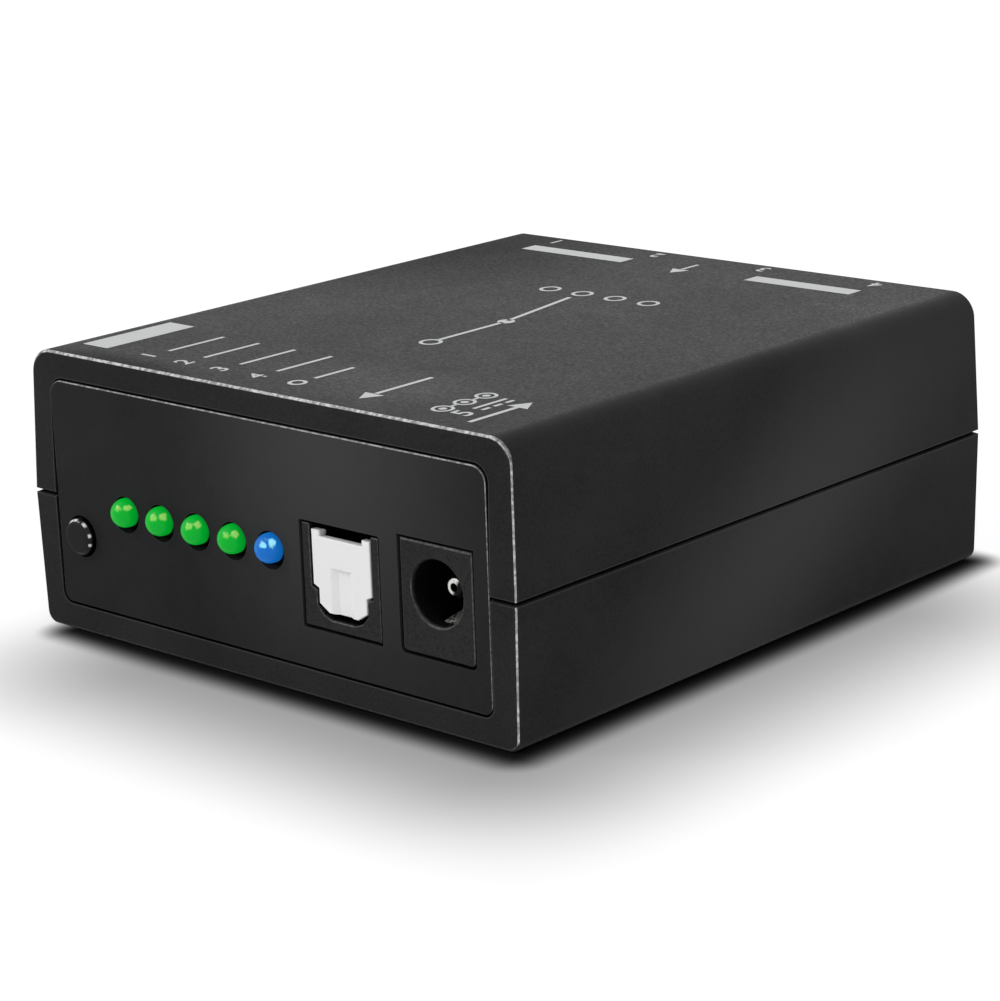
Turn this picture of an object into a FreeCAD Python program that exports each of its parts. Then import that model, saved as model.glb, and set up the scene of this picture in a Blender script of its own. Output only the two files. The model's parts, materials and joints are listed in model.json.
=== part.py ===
import FreeCAD, Part
import os
import re
import Sketcher

# Optical audio switch: a two-shell box with a flush panel at each end, one optical output and four
# optical inputs with spring shutters, five indicator lamps, a push button and a barrel power inlet.
# Origin at the centre of the underside, +X to the right seen from the front, front panel towards -Y.

# Driving sizes in millimetres
CASE = {
    "case_width": 67.0,
    "case_depth": 75.2,
    "case_height": 29.6,
    "parting_height": 14.38,
    "groove_width": 0.52,
    "groove_depth": 0.55,
    "cover_side_draft": 0.47,
    "cover_end_draft": 0.5,
    "base_side_draft": 0.34,
    "base_end_draft": 0.1,
    "cover_edge_radius": 2.65,
    "base_edge_radius": 1.3,
    "end_edge_radius": 0.3,
    "side_wall": 2.0,
    "end_wall": 1.4,
    "roof_thickness": 1.8,
    "floor_thickness": 1.8,
    "guide_rib": 1.0,
    "lip_height": 1.2,
    "lip_root": 2.0,
    "lip_thickness": 0.8,
    "lip_gap": 0.1,
    "lip_length": 58.0,
    "label_length": 42.0,
    "label_width": 22.0,
    "label_depth": 0.3,
    "label_shift": 16.0,
    "cut_past": 1.0,
}
PANEL = {
    "frame_side": 3.42,
    "frame_low": 2.94,
    "frame_high": 2.92,
    "panel_recess": 0.15,
    "panel_gap": 0.2,
    "panel_flange": 1.1,
    "flange_lip": 0.8,
    "slot_gap": 0.05,
    "panel_high_corner": 1.6,
    "panel_low_corner": 1.1,
    "panel_edge_radius": 0.15,
    "cutout_gap": 0.28,
    "cutout_corner": 0.25,
    "port_recess": 0.1,
    "inlet_recess": 0.05,
}
FIXING = {
    "boss_side_margin": 6.5,
    "boss_end_margin": 19.6,
    "boss_radius": 3.2,
    "boss_split": 11.0,
    "boss_gap": 0.05,
    "screw_hole_radius": 1.5,
    "screw_head_radius": 2.4,
    "screw_head_height": 1.5,
    "screw_shank_radius": 1.25,
    "screw_reach": 6.0,
    "screw_fit": 0.02,
    "pilot_extra": 3.0,
    "counterbore_radius": 2.7,
    "counterbore_depth": 4.2,
    "standoff_side_margin": 13.0,
    "standoff_y": 9.0,
    "standoff_radius": 2.6,
    "board_screw_head_radius": 1.9,
    "board_screw_head_height": 1.2,
    "board_screw_radius": 0.95,
    "board_screw_reach": 2.9,
    "board_screw_gap": 0.25,
    "blind_margin": 0.4,
    "cross_width": 0.55,
    "cross_arm": 1.2,
    "cross_depth": 0.7,
    "screw_edge": 0.4,
    "support_end_margin": 9.6,
    "support_thickness": 1.0,
    "support_length": 34.0,
}
BOARD = {
    "board_top": 7.25,
    "board_thickness": 1.6,
    "board_side_gap": 0.6,
    "board_end_gap": 0.3,
    "notch_gap": 0.5,
    "notch_reach": 4.0,
    "hole_gap": 0.2,
    "solder_land": 0.15,
    "solder_tip_radius": 0.3,
    "solder_height": 0.9,
}
BUTTON = {
    "button_side_margin": 6.87,
    "button_z": 10.43,
    "button_radius": 1.98,
    "button_hole_gap": 0.25,
    "button_proud": 0.8,
    "button_rim": 0.6,
    "button_flange_radius": 2.3,
    "button_flange": 0.8,
    "button_nub_radius": 0.9,
    "button_nub_gap": 0.07,
    "button_travel": 0.3,
    "button_stop_gap": 0.03,
    "bracket_depth": 2.75,
    "bracket_sheet": 0.3,
    "bracket_arm": 3.0,
    "bracket_arm_step": 0.6,
    "bracket_leg": 0.9,
    "bracket_leg_depth": 4.7,
    "switch_width": 6.0,
    "switch_depth": 3.2,
    "switch_chamber_radius": 2.5,
    "switch_back_wall": 0.95,
    "dome_rise": 0.3,
    "dome_sheet": 0.1,
    "dome_radius": 2.4,
    "dome_knee": 1.4,
    "dome_knee_drop": 0.1,
    "button_fit": 0.1,
    "switch_pin_x": 1.6,
    "switch_pin_width": 0.7,
    "switch_pin_sheet": 0.3,
}
LAMP = {
    "lamp_button_offset": 1.84,
    "lamp_port_offset": 4.24,
    "lamp_z": 14.15,
    "lamp_radius": 1.5,
    "lamp_proud": 0.05,
    "lamp_barrel": 2.9,
    "lamp_flange_radius": 1.9,
    "lamp_flange": 0.9,
    "lamp_hole_gap": 0.45,
    "lamp_hole_drop": 0.25,
    "lead_spacing": 2.54,
    "lead_width": 0.5,
    "lead_run": 2.3,
    "lead_bend": 0.35,
}
PORT = {
    "output_inlet_spacing": 12.48,
    "input_left_margin": 9.75,
    "input_right_margin": 11.65,
    "port_width": 10.12,
    "port_height": 10.3,
    "port_depth": 13.4,
    "port_edge_radius": 0.15,
    "mouth_half_wide": 4.08,
    "mouth_half_narrow": 3.38,
    "mouth_half_middle": 2.6,
    "mouth_half_bottom": 1.5,
    "mouth_bottom": 1.0,
    "mouth_middle": 1.4,
    "mouth_chamfer_top": 2.25,
    "mouth_step_low": 3.75,
    "mouth_step_high": 4.06,
    "mouth_roof": 9.85,
    "mouth_depth": 9.2,
    "mouth_edge_radius": 0.15,
    "roof_notch": 2.0,
    "ferrule_wall": 1.8,
    "ferrule_radius": 1.35,
    "optic_axis": 4.85,
    "optic_width": 6.4,
    "optic_height": 5.2,
    "optic_depth": 2.1,
    "optic_gap": 0.1,
    "lens_radius": 1.1,
    "lens_proud": 1.2,
    "lens_round": 0.7,
    "pin_pitch": 2.54,
    "pin_width": 0.5,
    "pin_sheet": 0.3,
    "peg_x": 2.6,
    "peg_depth": 7.0,
    "peg_radius": 0.75,
    "peg_fit": 0.1,
    "peg_proud": 0.7,
}
SHUTTER = {
    "shutter_recess": 0.08,
    "shutter_thickness": 0.7,
    "shutter_side_gap": 0.2,
    "shutter_low_gap": 0.2,
    "shutter_bottom_half": 1.9,
    "shutter_bottom_gap": 0.65,
    "shutter_top": 9.15,
    "shutter_ear_inner": 2.83,
    "hinge_height": 9.4,
    "hinge_setback": 0.65,
    "ear_rise": 0.35,
    "hinge_pin_radius": 0.25,
    "hinge_pin_end": 4.95,
    "hinge_fit": 0.05,
    "channel_top": 6.3,
    "channel_depth": 0.38,
    "channel_half_wide": 1.45,
    "channel_half_narrow": 0.75,
    "shutter_edge_radius": 0.12,
    "spring_wire_radius": 0.06,
    "spring_radius": 0.4,
    "spring_pitch": 0.18,
    "spring_turns": 3.0,
    "spring_pocket_radius": 0.52,
    "spring_pocket_depth": 0.7,
}
INLET = {
    "inlet_side_margin": 10.0,
    "inlet_width": 9.1,
    "inlet_height": 11.05,
    "inlet_depth": 14.0,
    "inlet_face": 3.4,
    "inlet_axis": 6.33,
    "inlet_bore_radius": 3.25,
    "inlet_bore_depth": 9.8,
    "inlet_barrel_radius": 4.3,
    "inlet_back_wall": 1.6,
    "inlet_back_half": 3.0,
    "inlet_back_top": 9.2,
    "inlet_low_corner": 0.45,
    "inlet_edge_radius": 0.25,
    "inlet_pin_radius": 1.05,
    "inlet_pin_tail": 0.7,
    "inlet_pin_neck": 0.2,
    "inlet_pin_fit": 0.02,
    "inlet_pin_recess": 2.35,
    "inlet_pin_round": 0.3,
    "inlet_pin_dimple": 0.4,
    "inlet_pin_dimple_depth": 0.8,
    "inlet_rivet_radius": 1.6,
    "inlet_rivet": 0.5,
    "terminal_sheet": 0.4,
    "terminal_width": 2.0,
    "terminal_top": 1.2,
    "leaf_width": 2.0,
    "leaf_sheet": 0.25,
    "leaf_start": 2.0,
    "leaf_crest": 5.6,
    "leaf_leg_depth": 8.6,
    "leaf_low": 1.0,
    "leaf_front_height": 3.05,
    "leaf_rise": 0.6,
    "slot_margin": 0.4,
}
ELECTRONICS = {
    "chip_width": 3.9,
    "chip_height": 1.45,
    "chip_standoff": 0.15,
    "chip_pin_pitch": 1.27,
    "chip_pin_width": 0.42,
    "chip_pin_sheet": 0.2,
    "chip_pin_reach": 1.05,
    "chip_pin_foot": 0.6,
    "chip_edge": 0.12,
    "selector_length": 9.9,
    "selector_x": 2.0,
    "selector_y": 4.0,
    "controller_length": 8.65,
    "controller_x": -12.0,
    "controller_y": -4.0,
    "regulator_x": 13.5,
    "regulator_y": -3.0,
    "regulator_length": 6.5,
    "regulator_width": 3.5,
    "regulator_height": 1.6,
    "regulator_tab_width": 3.0,
    "regulator_pin_reach": 1.6,
    "regulator_pin_pitch": 2.3,
    "regulator_pin_width": 0.7,
    "regulator_pin_sheet": 0.25,
    "can_x": 6.5,
    "can_y": -14.0,
    "can_pitch": 8.6,
    "can_radius": 2.5,
    "can_height": 5.3,
    "can_base": 5.3,
    "can_base_height": 0.9,
    "can_neck": 0.25,
    "can_neck_start": 0.7,
    "can_neck_half": 0.3,
    "can_edge": 0.35,
    "crystal_x": -11.5,
    "crystal_y": -14.2,
    "crystal_straight": 6.4,
    "crystal_width": 4.6,
    "crystal_height": 3.4,
    "crystal_flange": 0.4,
    "crystal_flange_height": 0.5,
    "chip_part_length": 2.0,
    "chip_part_width": 1.25,
    "resistor_height": 0.5,
    "resistor_end_margin": 11.2,
    "capacitor_height": 0.9,
    "capacitor_end_margin": 16.0,
}
SIZES = {**CASE, **PANEL, **FIXING, **BOARD, **BUTTON, **LAMP, **PORT, **SHUTTER, **INLET, **ELECTRONICS}

LAMP_COUNT = 5
INPUT_COUNT = 4
PINS_PER_PORT = 3
WIRE_SIDES = 10
SELECTOR_PINS_A_SIDE = 8
CONTROLLER_PINS_A_SIDE = 7

# Places worked out from the sizes, each an expression on the sheet
PANEL_FACE = "(case_depth / 2 - panel_recess)"
PORT_FACE = "(case_depth / 2 - panel_recess - port_recess)"
INLET_FACE = "(case_depth / 2 - panel_recess - inlet_recess)"
WALL_BACK = "(case_depth / 2 - end_wall)"
SLOT_BACK = "(case_depth / 2 - end_wall - panel_flange - 2 * slot_gap)"
RIB_BACK = "(case_depth / 2 - end_wall - panel_flange - 2 * slot_gap - guide_rib)"
INNER_HALF = "(case_width / 2 - side_wall)"
BOSS_X = "(case_width / 2 - boss_side_margin)"
BOSS_Y = "(case_depth / 2 - boss_end_margin)"
STANDOFF_X = "(case_width / 2 - standoff_side_margin)"
BUTTON_X = "(button_side_margin - case_width / 2)"
INLET_X = "(case_width / 2 - inlet_side_margin)"
OUTPUT_X = "(case_width / 2 - inlet_side_margin - output_inlet_spacing)"
INPUT_PITCH = f"((case_width - input_left_margin - input_right_margin) / {INPUT_COUNT - 1})"
# The lamps share the space between the button and the output socket equally
LAMP_PITCH = f"(({OUTPUT_X} - lamp_port_offset - {BUTTON_X} - lamp_button_offset) / {LAMP_COUNT + 1})"
BOARD_LOW = "(board_top - board_thickness)"
HINGE_DEPTH = "(shutter_recess + hinge_setback)"
CHAMBER_DEPTH = "(port_depth - mouth_depth - ferrule_wall)"
OPTIC_FRONT = "(mouth_depth + ferrule_wall + optic_gap)"
PIN_DEPTH = "(mouth_depth + ferrule_wall + optic_gap + optic_depth / 2)"
INLET_REAR = "(inlet_bore_depth + inlet_back_wall)"
TERMINAL_DEPTH = "(inlet_bore_depth + inlet_back_wall + inlet_rivet)"
LAMP_BACK = "(lamp_barrel + lamp_flange)"
SWITCH_FRONT = "(bracket_depth + bracket_sheet)"
CHAMBER_BACK = "(bracket_depth + bracket_sheet + switch_depth - switch_back_wall)"
DOME_CROWN = "(bracket_depth + bracket_sheet + switch_depth - switch_back_wall - dome_rise)"
NUB_END = f"({DOME_CROWN} - button_travel - button_nub_gap)"
SWITCH_PIN_DEPTH = "(bracket_depth + bracket_sheet + switch_depth - switch_back_wall / 2)"

X_WAY = FreeCAD.Vector(1, 0, 0)
Y_WAY = FreeCAD.Vector(0, 1, 0)
Z_WAY = FreeCAD.Vector(0, 0, 1)
TURNED = FreeCAD.Rotation(Z_WAY, 180)
UNTURNED = FreeCAD.Rotation()
# How near an edge must lie to a level, and how nearly it must follow an axis, to be chosen
NEAR = 0.02
ALIGNED = 0.99

document = FreeCAD.newDocument("optical_audio_switch")
sheet = document.addObject("Spreadsheet::Sheet", "Sizes")
pieces = []


# The sheet and the expressions on it
def fill_sheet():
    for row, (name, size) in enumerate(SIZES.items(), start=1):
        sheet.set(f"A{row}", name)
        sheet.set(f"B{row}", str(size))
        sheet.setAlias(f"B{row}", name)
    document.recompute()


def sized(text):
    """The same expression with each size's name written as its cell on the sheet."""
    return re.sub(r"[a-z][a-z_]*", lambda word: sheet.Name + "." + word.group(), str(text))


def number(text):
    return float(sheet.evalExpression(sized(text)))


def bind(thing, name, text):
    thing.setExpression(name, sized(text))


# Bodies, planes and sketches
def add_piece(kind, label, place=("0", "0", "0"), rotation=UNTURNED):
    piece = document.addObject(kind, label)
    piece.Label = label
    set_place(piece, place, rotation)
    pieces.append(piece)
    return piece


def set_place(thing, place, rotation=UNTURNED):
    thing.Placement = FreeCAD.Placement(FreeCAD.Vector(), rotation)
    for axis, text in zip("xyz", place):
        bind(thing, f"Placement.Base.{axis}", text)


def plane_of(body, role):
    return next(part for part in body.Origin.OriginFeatures if part.Role == role)


def sketch_on(body, role, offset="0"):
    sketch = body.newObject("Sketcher::SketchObject", body.Name + "_sketch")
    sketch.AttachmentSupport = (plane_of(body, role), [""])
    sketch.MapMode = "FlatFace"
    bind(sketch, "AttachmentOffset.Base.z", offset)
    return sketch


def tie(sketch, kind, geometry, point, text):
    """Ties one coordinate of a point, counted from the sketch's origin, to the sheet."""
    place = sketch.addConstraint(Sketcher.Constraint(kind, -1, 1, geometry, point, number(text)))
    bind(sketch, f"Constraints[{place}]", text)


def add_circle(sketch, x, y, radius):
    centre = FreeCAD.Vector(number(x), number(y), 0)
    circle = Part.Circle(centre, FreeCAD.Vector(0, 0, 1), number(radius))
    geometry = sketch.addGeometry(circle, False)
    place = sketch.addConstraint(Sketcher.Constraint("Radius", geometry, number(radius)))
    bind(sketch, f"Constraints[{place}]", radius)
    tie(sketch, "DistanceX", geometry, 3, x)
    tie(sketch, "DistanceY", geometry, 3, y)


def arc_between(start, end, centre, radius):
    middle = (start + end) * 0.5 - centre
    middle.normalize()
    return Part.Arc(start, centre + middle * radius, end)


def add_outline(sketch, corners, arcs=None):
    """A closed outline. arcs gives, by the number of the corner it starts at, an arc's centre and radius."""
    arcs = arcs or {}
    places = [FreeCAD.Vector(number(x), number(y), 0) for x, y in corners]
    sides = []
    for step, start in enumerate(places):
        end = places[(step + 1) % len(places)]
        if step in arcs:
            centre_x, centre_y, radius = arcs[step]
            centre = FreeCAD.Vector(number(centre_x), number(centre_y), 0)
            geometry = sketch.addGeometry(arc_between(start, end, centre, number(radius)), False)
            to_first = (sketch.getPoint(geometry, 1) - start).Length
            to_second = (sketch.getPoint(geometry, 2) - start).Length
            sides.append((geometry, 1, 2) if to_first < to_second else (geometry, 2, 1))
        else:
            sides.append((sketch.addGeometry(Part.LineSegment(start, end), False), 1, 2))
    for step, (geometry, head, tail) in enumerate(sides):
        following, following_head, _ = sides[(step + 1) % len(sides)]
        sketch.addConstraint(Sketcher.Constraint("Coincident", geometry, tail, following, following_head))
        tie(sketch, "DistanceX", geometry, head, corners[step][0])
        tie(sketch, "DistanceY", geometry, head, corners[step][1])
        if step in arcs:
            radius = arcs[step][2]
            place = sketch.addConstraint(Sketcher.Constraint("Radius", geometry, number(radius)))
            bind(sketch, f"Constraints[{place}]", radius)


def add_rectangle(sketch, left, right, low, high):
    add_outline(sketch, [(left, low), (right, low), (right, high), (left, high)])


def add_centred(sketch, half_x, half_y, x="0", y="0"):
    add_rectangle(sketch, f"{x} - {half_x}", f"{x} + {half_x}", f"{y} - {half_y}", f"{y} + {half_y}")


def add_round_ended(sketch, half_straight, radius):
    """A slot shape along X with half-circle ends."""
    reach = f"({half_straight} + {radius})"
    add_outline(sketch, [
        (half_straight, "-" + radius),
        (reach, "0"),
        (half_straight, radius),
        ("-" + half_straight, radius),
        ("-" + reach, "0"),
        ("-" + half_straight, "-" + radius),
    ], {
        0: (half_straight, "0", radius),
        1: (half_straight, "0", radius),
        3: ("-" + half_straight, "0", radius),
        4: ("-" + half_straight, "0", radius),
    })


# Features
def body_volume(body):
    return sum(solid.Volume for solid in body.Shape.Solids)


def finish_feature(body, feature, grows):
    before = body_volume(body)
    body.Tip = feature
    document.recompute()
    if (body_volume(body) > before) != grows:
        raise RuntimeError(f"{feature.Name} doesn't {'add' if grows else 'cut'} anything")
    return feature


def pad(body, sketch, length, reverse=False, both_ways=False):
    feature = body.newObject("PartDesign::Pad", body.Name + "_pad")
    feature.Profile = sketch
    feature.SideType = "Symmetric" if both_ways else "One side"
    feature.Reversed = reverse
    bind(feature, "Length", length)
    return finish_feature(body, feature, True)


def pocket(body, sketch, length, reverse=False, both_ways=False):
    feature = body.newObject("PartDesign::Pocket", body.Name + "_pocket")
    feature.Profile = sketch
    feature.SideType = "Symmetric" if both_ways else "One side"
    feature.Reversed = reverse
    bind(feature, "Length", length)
    return finish_feature(body, feature, False)


def revolve(body, sketch, axis="V_Axis"):
    feature = body.newObject("PartDesign::Revolution", body.Name + "_revolution")
    feature.Profile = sketch
    feature.ReferenceAxis = (sketch, [axis])
    feature.Angle = 360
    return finish_feature(body, feature, True)


def round_edges(body, radius, chosen):
    base = body.Tip
    names = [f"Edge{place}" for place, edge in enumerate(base.Shape.Edges, start=1) if chosen(edge)]
    feature = body.newObject("PartDesign::Fillet", body.Name + "_fillet")
    feature.Base = (base, names)
    bind(feature, "Radius", radius)
    body.Tip = feature
    document.recompute()
    return feature


def mirror(body, features, role):
    feature = body.newObject("PartDesign::Mirrored", body.Name + "_mirror")
    feature.Originals = features
    feature.MirrorPlane = (plane_of(body, role), [""])
    return finish_feature(body, feature, True)


def repeat(body, features, rows, mirror_role=None):
    """Copies features, first across a plane if one is named, then along each row's axis."""
    feature = body.newObject("PartDesign::MultiTransform", body.Name + "_repeat")
    feature.Originals = features
    steps = []
    if mirror_role:
        other_side = body.newObject("PartDesign::Mirrored", body.Name + "_other_side")
        other_side.MirrorPlane = (plane_of(body, mirror_role), [""])
        steps.append(other_side)
    for axis, spacing, count in rows:
        row = body.newObject("PartDesign::LinearPattern", body.Name + "_row")
        row.Direction = (plane_of(body, axis), [""])
        row.Occurrences = count
        bind(row, "Length", f"{spacing} * {count - 1}")
        steps.append(row)
    feature.Transformations = steps
    return finish_feature(body, feature, True)


# Choosing edges by where they lie
def runs_along(edge, axis):
    if not isinstance(edge.Curve, Part.Line):
        return False
    return abs(edge.tangentAt(edge.FirstParameter).dot(axis)) > ALIGNED


def lies_at(edge, axis, place):
    ends = [vertex.Point.dot(axis) for vertex in edge.Vertexes]
    return all(abs(end - place) < NEAR for end in ends)


# Part primitives
def add_box(name, low, size):
    box = document.addObject("Part::Box", name)
    for side, text in zip(("Length", "Width", "Height"), size):
        bind(box, side, text)
    set_place(box, low)
    return box


def add_group(label, members):
    group = add_piece("Part::Compound", label)
    group.Links = members
    return group


# Lamp and socket places
def lamp_x(place):
    return f"({BUTTON_X} + lamp_button_offset + {place + 1} * {LAMP_PITCH})"


def input_x(place):
    return f"(input_left_margin - case_width / 2 + {place} * {INPUT_PITCH})"


# The two shells
def shell_block(body, outer_level, side_draft, end_draft, edge_radius):
    """A block drafted from the parting line to its outer level, with its edges rounded."""
    side = f"(case_width / 2 - {side_draft})"
    end = f"(case_depth / 2 - {end_draft})"
    profile = sketch_on(body, "XZ_Plane")
    add_outline(profile, [
        ("case_width / 2", "parting_height"),
        (side, outer_level),
        ("-" + side, outer_level),
        ("-case_width / 2", "parting_height"),
    ])
    pad(body, profile, "case_depth", both_ways=True)
    wedges = sketch_on(body, "YZ_Plane")
    for way in ("", "-"):
        add_outline(wedges, [
            (way + "case_depth / 2", "parting_height"),
            (way + end, outer_level),
            (f"{way}(case_depth / 2 + cut_past)", outer_level),
            (f"{way}(case_depth / 2 + cut_past)", "parting_height"),
        ])
    pocket(body, wedges, "case_width + 2 * cut_past", both_ways=True)
    level = number(outer_level)
    reach = number(side)
    round_edges(
        body,
        edge_radius,
        lambda edge: runs_along(edge, Y_WAY)
        and lies_at(edge, Z_WAY, level)
        and (lies_at(edge, X_WAY, reach) or lies_at(edge, X_WAY, -reach)),
    )
    end_reach = number(end) - NEAR / 2
    parting = number("parting_height")
    round_edges(
        body,
        "end_edge_radius",
        lambda edge: (edge.BoundBox.YMin > end_reach or edge.BoundBox.YMax < -end_reach)
        and not lies_at(edge, Z_WAY, parting),
    )


def cut_groove(body, way):
    """Bevels the parting edge all round, so that the closed shells show a V groove."""
    for role, half, length in (("XZ_Plane", "case_width / 2", "case_depth"),
                               ("YZ_Plane", "case_depth / 2", "case_width")):
        bevel = sketch_on(body, role)
        for side in ("", "-"):
            add_outline(bevel, [
                (f"{side}({half} - groove_depth)", "parting_height"),
                (f"{side}({half} + groove_depth)", f"parting_height {way} groove_width"),
                (f"{side}({half} + groove_depth)", "parting_height"),
            ])
        pocket(body, bevel, length + " + 2 * cut_past", both_ways=True)


def hollow_shell(body, length, upward):
    """The main cavity and, past a guide rib at each end, the slots that hold the panels' flanges."""
    sketch = sketch_on(body, "XY_Plane", "parting_height")
    add_centred(sketch, INNER_HALF, RIB_BACK)
    add_rectangle(sketch, "-" + INNER_HALF, INNER_HALF, "-" + WALL_BACK, "-" + SLOT_BACK)
    add_rectangle(sketch, "-" + INNER_HALF, INNER_HALF, SLOT_BACK, WALL_BACK)
    pocket(body, sketch, length, reverse=upward)


def cut_window(body, low, high, corner_height, corner_radius):
    """The opening that each panel's raised face fills, cut through both ends at once."""
    half = "(case_width / 2 - frame_side + panel_gap)"
    sketch = sketch_on(body, "XZ_Plane")
    add_rectangle(sketch, "-" + half, half, low, high)
    pocket(body, sketch, "case_depth + 2 * cut_past", both_ways=True)
    reach = number(half)
    corner = number(corner_height)
    round_edges(
        body,
        corner_radius,
        lambda edge: runs_along(edge, Y_WAY)
        and lies_at(edge, Z_WAY, corner)
        and (lies_at(edge, X_WAY, reach) or lies_at(edge, X_WAY, -reach)),
    )


def four_circles(body, height, x, y, radius):
    sketch = sketch_on(body, "XY_Plane", height)
    for side in ("", "-"):
        for end in ("", "-"):
            add_circle(sketch, side + x, end + y, radius)
    return sketch


def make_top_cover():
    body = add_piece("PartDesign::Body", "top_cover")
    shell_block(body, "case_height", "cover_side_draft", "cover_end_draft", "cover_edge_radius")
    cut_groove(body, "+")
    hollow_shell(body, "case_height - roof_thickness - parting_height", True)
    window_top = "(case_height - frame_high + panel_gap)"
    cut_window(body, "parting_height - cut_past", window_top, window_top, "panel_high_corner + panel_gap")
    boss_end = "(boss_split + boss_gap)"
    bosses = four_circles(body, boss_end, BOSS_X, BOSS_Y, "boss_radius")
    pad(body, bosses, f"case_height - roof_thickness / 2 - {boss_end}")
    pilots = four_circles(body, boss_end, BOSS_X, BOSS_Y, "screw_shank_radius + screw_fit")
    pocket(body, pilots, "screw_reach + pilot_extra", reverse=True)


def make_bottom_cover():
    body = add_piece("PartDesign::Body", "bottom_cover")
    shell_block(body, "0", "base_side_draft", "base_end_draft", "base_edge_radius")
    cut_groove(body, "-")
    hollow_shell(body, "parting_height - floor_thickness", False)
    window_low = "(frame_low - panel_gap)"
    cut_window(body, window_low, "parting_height + cut_past", window_low, "panel_low_corner + panel_gap")
    add_board_supports(body)
    add_screw_columns(body)
    add_register_lips(body)
    label = sketch_on(body, "XY_Plane")
    add_centred(label, "label_length / 2", "label_width / 2", y="label_shift")
    pocket(body, label, "label_depth", reverse=True)


def add_board_supports(body):
    """Four standoffs for the board's screws and a rib under each row of sockets."""
    root = "floor_thickness / 2"
    rise = f"{BOARD_LOW} - {root}"
    standoffs = four_circles(body, root, STANDOFF_X, "standoff_y", "standoff_radius")
    pad(body, standoffs, rise)
    ribs = sketch_on(body, "XY_Plane", root)
    for end in ("", "-"):
        place = f"{end}(case_depth / 2 - support_end_margin)"
        add_centred(ribs, "support_length / 2", "support_thickness / 2", y=place)
    pad(body, ribs, rise)
    pilots = four_circles(body, BOARD_LOW, STANDOFF_X, "standoff_y", "board_screw_radius + screw_fit")
    pocket(body, pilots, "board_screw_reach + blind_margin")


def add_screw_columns(body):
    """Hollow columns that the case screws pass up through, with their heads sunk from below."""
    columns = four_circles(body, "floor_thickness / 2", BOSS_X, BOSS_Y, "boss_radius")
    pad(body, columns, "boss_split - floor_thickness / 2")
    holes = four_circles(body, "0", BOSS_X, BOSS_Y, "screw_hole_radius")
    pocket(body, holes, "boss_split + cut_past", reverse=True)
    wells = four_circles(body, "0", BOSS_X, BOSS_Y, "counterbore_radius")
    pocket(body, wells, "counterbore_depth", reverse=True)


def add_register_lips(body):
    """A lip inside each long wall that stands up into the top cover and lines the shells up."""
    sketch = sketch_on(body, "XZ_Plane")
    foot = "(parting_height - lip_root)"
    top = "(parting_height + lip_height)"
    wall = INNER_HALF
    outer = f"({INNER_HALF} - lip_gap)"
    inner = f"({INNER_HALF} - lip_gap - lip_thickness)"
    slope_foot = f"({foot} - lip_thickness)"
    for side in ("", "-"):
        add_outline(sketch, [
            (side + wall, slope_foot),
            (side + wall, "parting_height"),
            (side + outer, "parting_height"),
            (side + outer, top),
            (side + inner, top),
            (side + inner, foot),
        ])
    pad(body, sketch, "lip_length", both_ways=True)


# The panels
def make_panel(label, rotation):
    """A plate whose raised face fills the window and whose flange sits in the shells' slots."""
    body = add_piece("PartDesign::Body", label, rotation=rotation)
    half = "(case_width / 2 - frame_side)"
    top = "(case_height - frame_high)"
    face = sketch_on(body, "XZ_Plane", PANEL_FACE)
    add_rectangle(face, "-" + half, half, "frame_low", top)
    flange_front = f"({WALL_BACK} - slot_gap)"
    pad(body, face, f"{PANEL_FACE} - {flange_front}", reverse=True)
    for height, radius in ((top, "panel_high_corner"), ("frame_low", "panel_low_corner")):
        level = number(height)
        round_edges(body, radius, lambda edge: runs_along(edge, Y_WAY) and lies_at(edge, Z_WAY, level))
    front = -number(PANEL_FACE)
    round_edges(body, "panel_edge_radius", lambda edge: lies_at(edge, Y_WAY, front))
    flange = sketch_on(body, "XZ_Plane", flange_front)
    add_rectangle(flange, f"-{half} - flange_lip", f"{half} + flange_lip",
                  "frame_low - flange_lip", f"{top} + flange_lip")
    pad(body, flange, "panel_flange", reverse=True)
    return body


def cut_panel(body, sketch):
    pocket(body, sketch, "end_wall + panel_flange + cut_past")


def cut_socket_opening(body, x, width, height, radius, corner_levels):
    """A rectangular opening round a socket, with rounded corners at the given levels."""
    sketch = sketch_on(body, "XZ_Plane", PANEL_FACE)
    left = f"({x} - {width} / 2 - cutout_gap)"
    right = f"({x} + {width} / 2 + cutout_gap)"
    add_rectangle(sketch, left, right, "board_top - cutout_gap", f"board_top + {height} + cutout_gap")
    cut_panel(body, sketch)
    sides = (number(left), number(right))
    levels = [number(level) for level in corner_levels]
    round_edges(
        body,
        radius,
        lambda edge: runs_along(edge, Y_WAY)
        and any(lies_at(edge, X_WAY, side) for side in sides)
        and any(lies_at(edge, Z_WAY, level) for level in levels),
    )


def cut_port_opening(body, x):
    levels = ("board_top - cutout_gap", "board_top + port_height + cutout_gap")
    cut_socket_opening(body, x, "port_width", "port_height", "cutout_corner", levels)


def make_front_panel():
    body = make_panel("front_panel", UNTURNED)
    holes = sketch_on(body, "XZ_Plane", PANEL_FACE)
    add_circle(holes, BUTTON_X, "button_z", "button_radius + button_hole_gap")
    for place in range(LAMP_COUNT):
        add_circle(holes, lamp_x(place), "lamp_z - lamp_hole_drop", "lamp_radius + lamp_hole_gap")
    cut_panel(body, holes)
    cut_port_opening(body, OUTPUT_X)
    cut_socket_opening(body, INLET_X, "inlet_width", "inlet_height", "inlet_low_corner + cutout_gap",
                       ["board_top - cutout_gap"])


def make_rear_panel():
    body = make_panel("rear_panel", TURNED)
    for place in range(INPUT_COUNT):
        cut_port_opening(body, f"-({input_x(place)})")


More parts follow.
